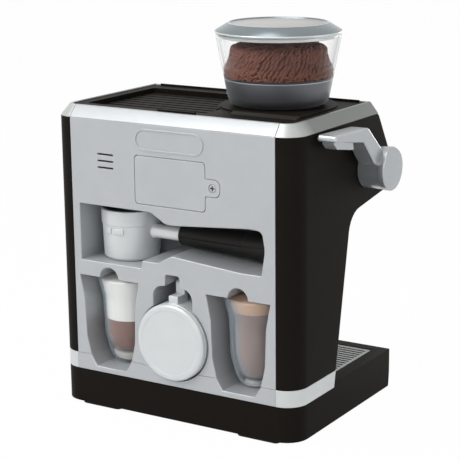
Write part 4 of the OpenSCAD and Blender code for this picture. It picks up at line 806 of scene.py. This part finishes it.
# The play drinks: a latte in a single wall and a cappuccino in a double wall, each froth a little
# domed. Fillings and inner wall are turned from corners (radius, height, rounding), a glass's thick
# base from plain (radius, height).
latte = {"side": 1, "wall": 1.6, "floor": 10.2,
         "coffee": [(0, 11.0, 0), (14.6, 11.0, 8), (18.0, 24.3, 18), (18.4, 37.0, 0.2), (0, 37.0, 0)],
         "foam": [(0, 37.0, 0), (18.5, 37.0, 0.2), (19.0, 54.3, 22), (22.3, 70.0, 1.2), (12.0, 71.52, 20),
                  (0, 71.9, 0)],
         "base": [(0, 1.6), (8.0, 1.8), (11.4, 3.4), (13.4, 6.6), (13.8, 8.8), (11.5, 9.7), (6, 9.9),
                  (0, 10.0)]}
cappuccino = {"side": -1, "wall": 1.3, "floor": 2.2,
              "inner": [(0, 4.9, 0), (11.6, 4.9, 9), (16.4, 24.3, 18), (17.4, 54.3, 22), (22.6, 70.6, 0.4),
                        (21.2, 70.6, 0.4), (16.4, 54.3, 22), (15.4, 24.3, 18), (10.8, 5.9, 8), (0, 5.9, 0)],
              "coffee": [(0, 6.2, 0), (10.6, 6.2, 8), (15.2, 24.3, 18), (16.2, 54.3, 22), (17.3, 59.5, 0.2),
                         (0, 59.5, 0)],
              "foam": [(0, 59.5, 0), (17.4, 59.5, 0.2), (20.4, 69.4, 1.2), (11.0, 71.33, 20), (0, 71.71, 0)],
              "base": [(0, 0.5), (9.6, 0.6), (10.4, 1.4), (8.6, 3.0), (7.4, 4.4), (0, 4.7)]}


def glassLine(inset, floor):
    # a closed line from the foot up the outside and back down the inside
    foot, low, middle, high = glass["side"]
    lip, top, bend = glass["lip"], glass["height"], glass["lipRound"]
    outside = [(0, 0, 0), (foot[0], 0, 1.0), low, middle, high, (lip, top, bend)]
    inside = [(lip - inset, top, bend), (high[0] - inset, high[1], 23), (middle[0] - inset, middle[1], 18),
              (low[0] - inset - 1.0, floor, 6), (0, floor, 0)]
    return rounded(outside + inside)


def froth(angle, z):
    # low waves round the froth, 9 and 23 to a turn
    return 0.12 * sin(9 * angle + z) + 0.08 * sin(23 * angle)


def atGlass(drink, line, steps=96, ripple=None):
    x, z = drink["side"] * cupWell["centre"], cupWell["floor"] + glass["lift"]
    return shifted(turned(line, steps, ripple=ripple), x, glass["y"], z)


for name, drink in (("latte", latte), ("cappuccino", cappuccino)):
    cup = name + "_glass"
    standFor(cup, atGlass(drink, glassLine(drink["wall"], drink["floor"])), finish="clearGlass")
    if "inner" in drink:
        addPiece(name + "InnerWall", atGlass(drink, rounded(drink["inner"])), "clear_plastic", cup,
                 finish="clearGlass")
    for layer, ripple in (("coffee", None), ("foam", froth)):
        standFor(name + "_" + layer, atGlass(drink, rounded(drink[layer]), ripple=ripple))
    addPiece(name + "GlassBase", atGlass(drink, drink["base"], 72), "clear_plastic", cup, finish="clearBase")
print("glasses made")

# The milk jug lies on its side with its base outwards; its handle stands up behind a short tab. The
# body is turned from corners (radius, height, rounding), hoop and tab are (height, radius, rounding).
jug = {"x": -0.5, "y": 5.0, "z": 64.6, "handleWidth": 8.5, "handleEdge": 1.0,
       "body": [(0, 0.35, 0), (25.4, 0.35, 1.0), (26.2, 0.0, 0.8), (30.8, 0, 2.6), (30.8, 3.4, 0.1),
                (30.25, 3.9, 0.1), (30.8, 4.4, 0.1), (30.8, 28.5, 6), (24.5, 51.0, 5), (25.9, 57.0, 0.5),
                (24.1, 57.0, 0.5), (22.7, 51.0, 5), (29.0, 28.5, 6), (29.0, 5.4, 3), (0, 2.4, 0)],
       "hoop": [(15.96, 27.8, 0), (15.96, 46.8, 3.2), (51.0, 46.8, 3.2), (51.0, 23.5, 0), (46.0, 23.5, 0),
                (46.0, 41.8, 2.0), (20.96, 41.8, 2.0), (20.96, 27.8, 0)],
       "tab": [(6.0, 27.8, 0), (6.0, 36.3, 0.8), (16.96, 36.3, 0), (16.96, 27.8, 0)]}
jugBody = turned(rounded(jug["body"], 6), 144)
standFor("milk_jug", stood(jugBody, (jug["x"], jug["y"], jug["z"]), 90, "X"))
across = jug["handleWidth"] / 2
for name, key, steps in (("milkJugHandle", "hoop", 6), ("milkJugTab", "tab", 4)):
    outline = [Vector((jug["y"] - p.x, jug["z"] + p.y)) for p in rounded(jug[key], steps)]
    addPiece(name, pressed(outline, jug["x"] - across, jug["x"] + across, "x"), "holder_silver", "milk_jug",
             edge=jug["handleEdge"])
print("milk jug made")

# The control panel's fittings stand square to the leaning panel: z out of it, y up it. They are
# turned from corners (radius, height, rounding), the lens from plain (radius, height).
controls = {"y": -145.65, "z": 209.49, "lean": 31.4}
gauge = {"ring": [(19, 0, 0), (21, 0, 0), (21, 3.2, 0.5), (20.2, 4.0, 0.4), (19.1, 3.3, 0.3)],
         "lens": [(0, 2.6), (18.9, 2.6), (18.9, 2.9), (12.6, 3.3), (0, 3.4)],
         "ticks": 25, "firstTick": 120, "tickStep": 10, "tickOuter": 17.6, "tickHalf": 0.25, "longTick": 2.6,
         "shortTick": 1.4, "circle": (17.8, 18.1), "ink": (0.98, 1.06)}
knob = {"x": 74.0, "flutes": 28, "fluteDepth": 0.35, "fluted": (3.5, 11.6), "pointer": (1.0, 10.8),
        "pointerZ": (12.4, 14.3),
        "body": [(0, -5.4, 0), (3.0, -5.4, 0.4), (3.0, 0.4, 0), (13.6, 0.4, 0.4), (14.0, 0.9, 0.4),
                 (14.0, 2.4, 0.5), (12.8, 2.9, 0.3), (11.8, 3.6, 0.2), (11.6, 6.0, 0), (11.5, 9.0, 0),
                 (11.4, 11.2, 0.2), (10.4, 12.9, 1.0), (9.0, 12.5, 0.5), (0, 12.5, 0)]}
button = {"x": {"power_button": -31.0, "single_button": 31.0, "double_button": 47.0},
          "body": [(0, -7.8, 0), (1.5, -7.8, 0.3), (1.5, -4.6, 0), (7.2, -4.6, 0.2), (7.2, -3.4, 0.2),
                   (6.0, -3.4, 0), (6.0, 3.0, 0.9), (4.4, 2.9, 0.3), (3.8, 2.55, 0.3), (0, 2.4, 0)]}


def onPanel(shape, x=0):
    return stood(shape, (x, controls["y"], controls["z"]), 90 - controls["lean"], "X")


standFor("gauge_ring", onPanel(turned(rounded(gauge["ring"], 5), 128, closed=True)))
standFor("gauge_lens", onPanel(turned(gauge["lens"])))
inkLow, inkHigh = gauge["ink"]
scale = []
for k in range(gauge["ticks"]):
    long = gauge["longTick"] if k % 4 == 0 else gauge["shortTick"]
    tick = rectangle(-gauge["tickHalf"], gauge["tickHalf"], gauge["tickOuter"] - long, gauge["tickOuter"])
    angle = gauge["firstTick"] - gauge["tickStep"] * k
    scale.append(stood(pressed(tick, inkLow, inkHigh, "z"), (0, 0, 0), angle, "Z"))
inner, outer = gauge["circle"]
scale.append(turned([(inner, inkLow), (outer, inkLow), (outer, inkHigh), (inner, inkHigh)], closed=True))
addPiece("gaugeScale", onPanel(joined(*scale)), "dial_white", "housing", finish="ink")


def fluted(angle, z):
    low, high = knob["fluted"]
    return knob["fluteDepth"] * cos(knob["flutes"] * angle) if low < z < high else 0.0


pointerHalf, pointerLength = knob["pointer"]
pointer = pressed(rectangle(-pointerHalf, pointerHalf, 0.0, pointerLength, 0.9, 5), *knob["pointerZ"], "z")
knobShape = joined(turned(rounded(knob["body"], 4), 168, ripple=fluted), pointer)
for node, x in (("dose_knob", -knob["x"]), ("steam_knob", knob["x"])):
    standFor(node, onPanel(knobShape, x))
for node, x in button["x"].items():
    standFor(node, onPanel(turned(rounded(button["body"], 5), 64), x))
print("controls made")

# The floor: plain and pale, and plain white to the camera and to reflections, except for the shadow.
studio = {"halfSize": 4.0, "paper": "#f4f4f4", "whiteShare": 0.98, "softLight": 0.3, "whiteLight": 1.0}


def bareRay(material):
    # 1 where the ray is the camera's, a reflection's or one that went through clear plastic
    rays = addNode(material, "LightPath").outputs
    found = rays["Is Camera Ray"]
    for kind in ("Is Glossy Ray", "Is Transmission Ray"):
        found = addNode(material, "Math", {"operation": "MAXIMUM"}, {0: found, 1: rays[kind]}).outputs[0]
    return found


half = studio["halfSize"]
floorMesh = bpy.data.meshes.new("floor")
floorCorners = [(-half, -half, 0), (half, -half, 0), (half, half, 0), (-half, half, 0)]
floorMesh.from_pydata(floorCorners, [], [(0, 1, 2, 3)])
floorPaper = newMaterial("paleStudioPaper")
paper = addNode(floorPaper, "BsdfDiffuse", {"Color": linear(studio["paper"])})
glow = addNode(floorPaper, "Emission", {"Color": (1, 1, 1, 1), "Strength": studio["whiteLight"]})
share = addNode(floorPaper, "Math", {"operation": "MULTIPLY", 1: studio["whiteShare"]},
                {0: bareRay(floorPaper)})
blend = addNode(floorPaper, "MixShader", links={0: share.outputs[0], 1: paper.outputs[0], 2: glow.outputs[0]})
addNode(floorPaper, "OutputMaterial", links={"Surface": blend.outputs[0]})
floorMesh.materials.append(floorPaper)
addObject("floor", floorMesh)

world = bpy.data.worlds.new("studio")
bpy.context.scene.world = world
world.use_nodes = True
world.node_tree.nodes.clear()
soft = addNode(world, "Background", {"Color": (1, 1, 1, 1), "Strength": studio["softLight"]})
white = addNode(world, "Background", {"Color": (1, 1, 1, 1), "Strength": studio["whiteLight"]})
sky = addNode(world, "MixShader", links={0: bareRay(world), 1: soft.outputs[0], 2: white.outputs[0]})
addNode(world, "OutputWorld", links={"Surface": sky.outputs[0]})

# each lamp: where it stands in metres, its side in metres, and its watts
lamps = {"keyLamp": ((0.7, 1.2, 1.5), 0.9, 19.5),
         "topLamp": ((0.2, 0.3, 1.8), 1.0, 9),
         "sideLamp": ((-1.7, -0.5, 0.45), 0.7, 4),
         "fillLamp": ((-0.9, 1.5, 0.7), 0.8, 3.5),
         "frontLamp": ((-0.1, -1.9, 0.3), 0.6, 6)}
lampTarget = Vector((0, 0, 0.14))
for name, (at, size, watts) in lamps.items():
    light = bpy.data.lights.new(name, "AREA")
    light.shape = "SQUARE"
    light.size = size
    light.energy = watts
    lamp = addObject(name, light)
    lamp.location = at
    lamp.rotation_euler = (lampTarget - Vector(at)).to_track_quat("-Z", "Y").to_euler()

# azimuth runs from the front towards +x; turns are in degrees, places in metres, lens and sensor in mm
view = {"azimuth": 210.585, "elevation": 13.979, "roll": -0.249, "target": (-0.046988, 0.010, 0.142587),
        "distance": 1.185984, "lens": 118.13, "sensor": 36.0, "shiftX": -0.0877, "shiftY": 0.0129}
azimuth, elevation = radians(view["azimuth"]), radians(view["elevation"])
level = cos(elevation)
back = Vector((sin(azimuth) * level, -cos(azimuth) * level, sin(elevation)))
lens = bpy.data.cameras.new("camera")
lens.sensor_width, lens.lens = view["sensor"], view["lens"]
lens.shift_x, lens.shift_y = view["shiftX"], view["shiftY"]
lens.clip_start, lens.clip_end = 0.05, 20
camera = addObject("camera", lens)
camera.location = Vector(view["target"]) + back * view["distance"]
tilt = back.to_track_quat("Z", "Y").to_matrix() @ Matrix.Rotation(radians(view["roll"]), 3, "Z")
camera.rotation_euler = tilt.to_euler()
bpy.context.scene.camera = camera
bpy.context.scene.view_settings.view_transform = "Standard"
print("stage, lamps and camera set")
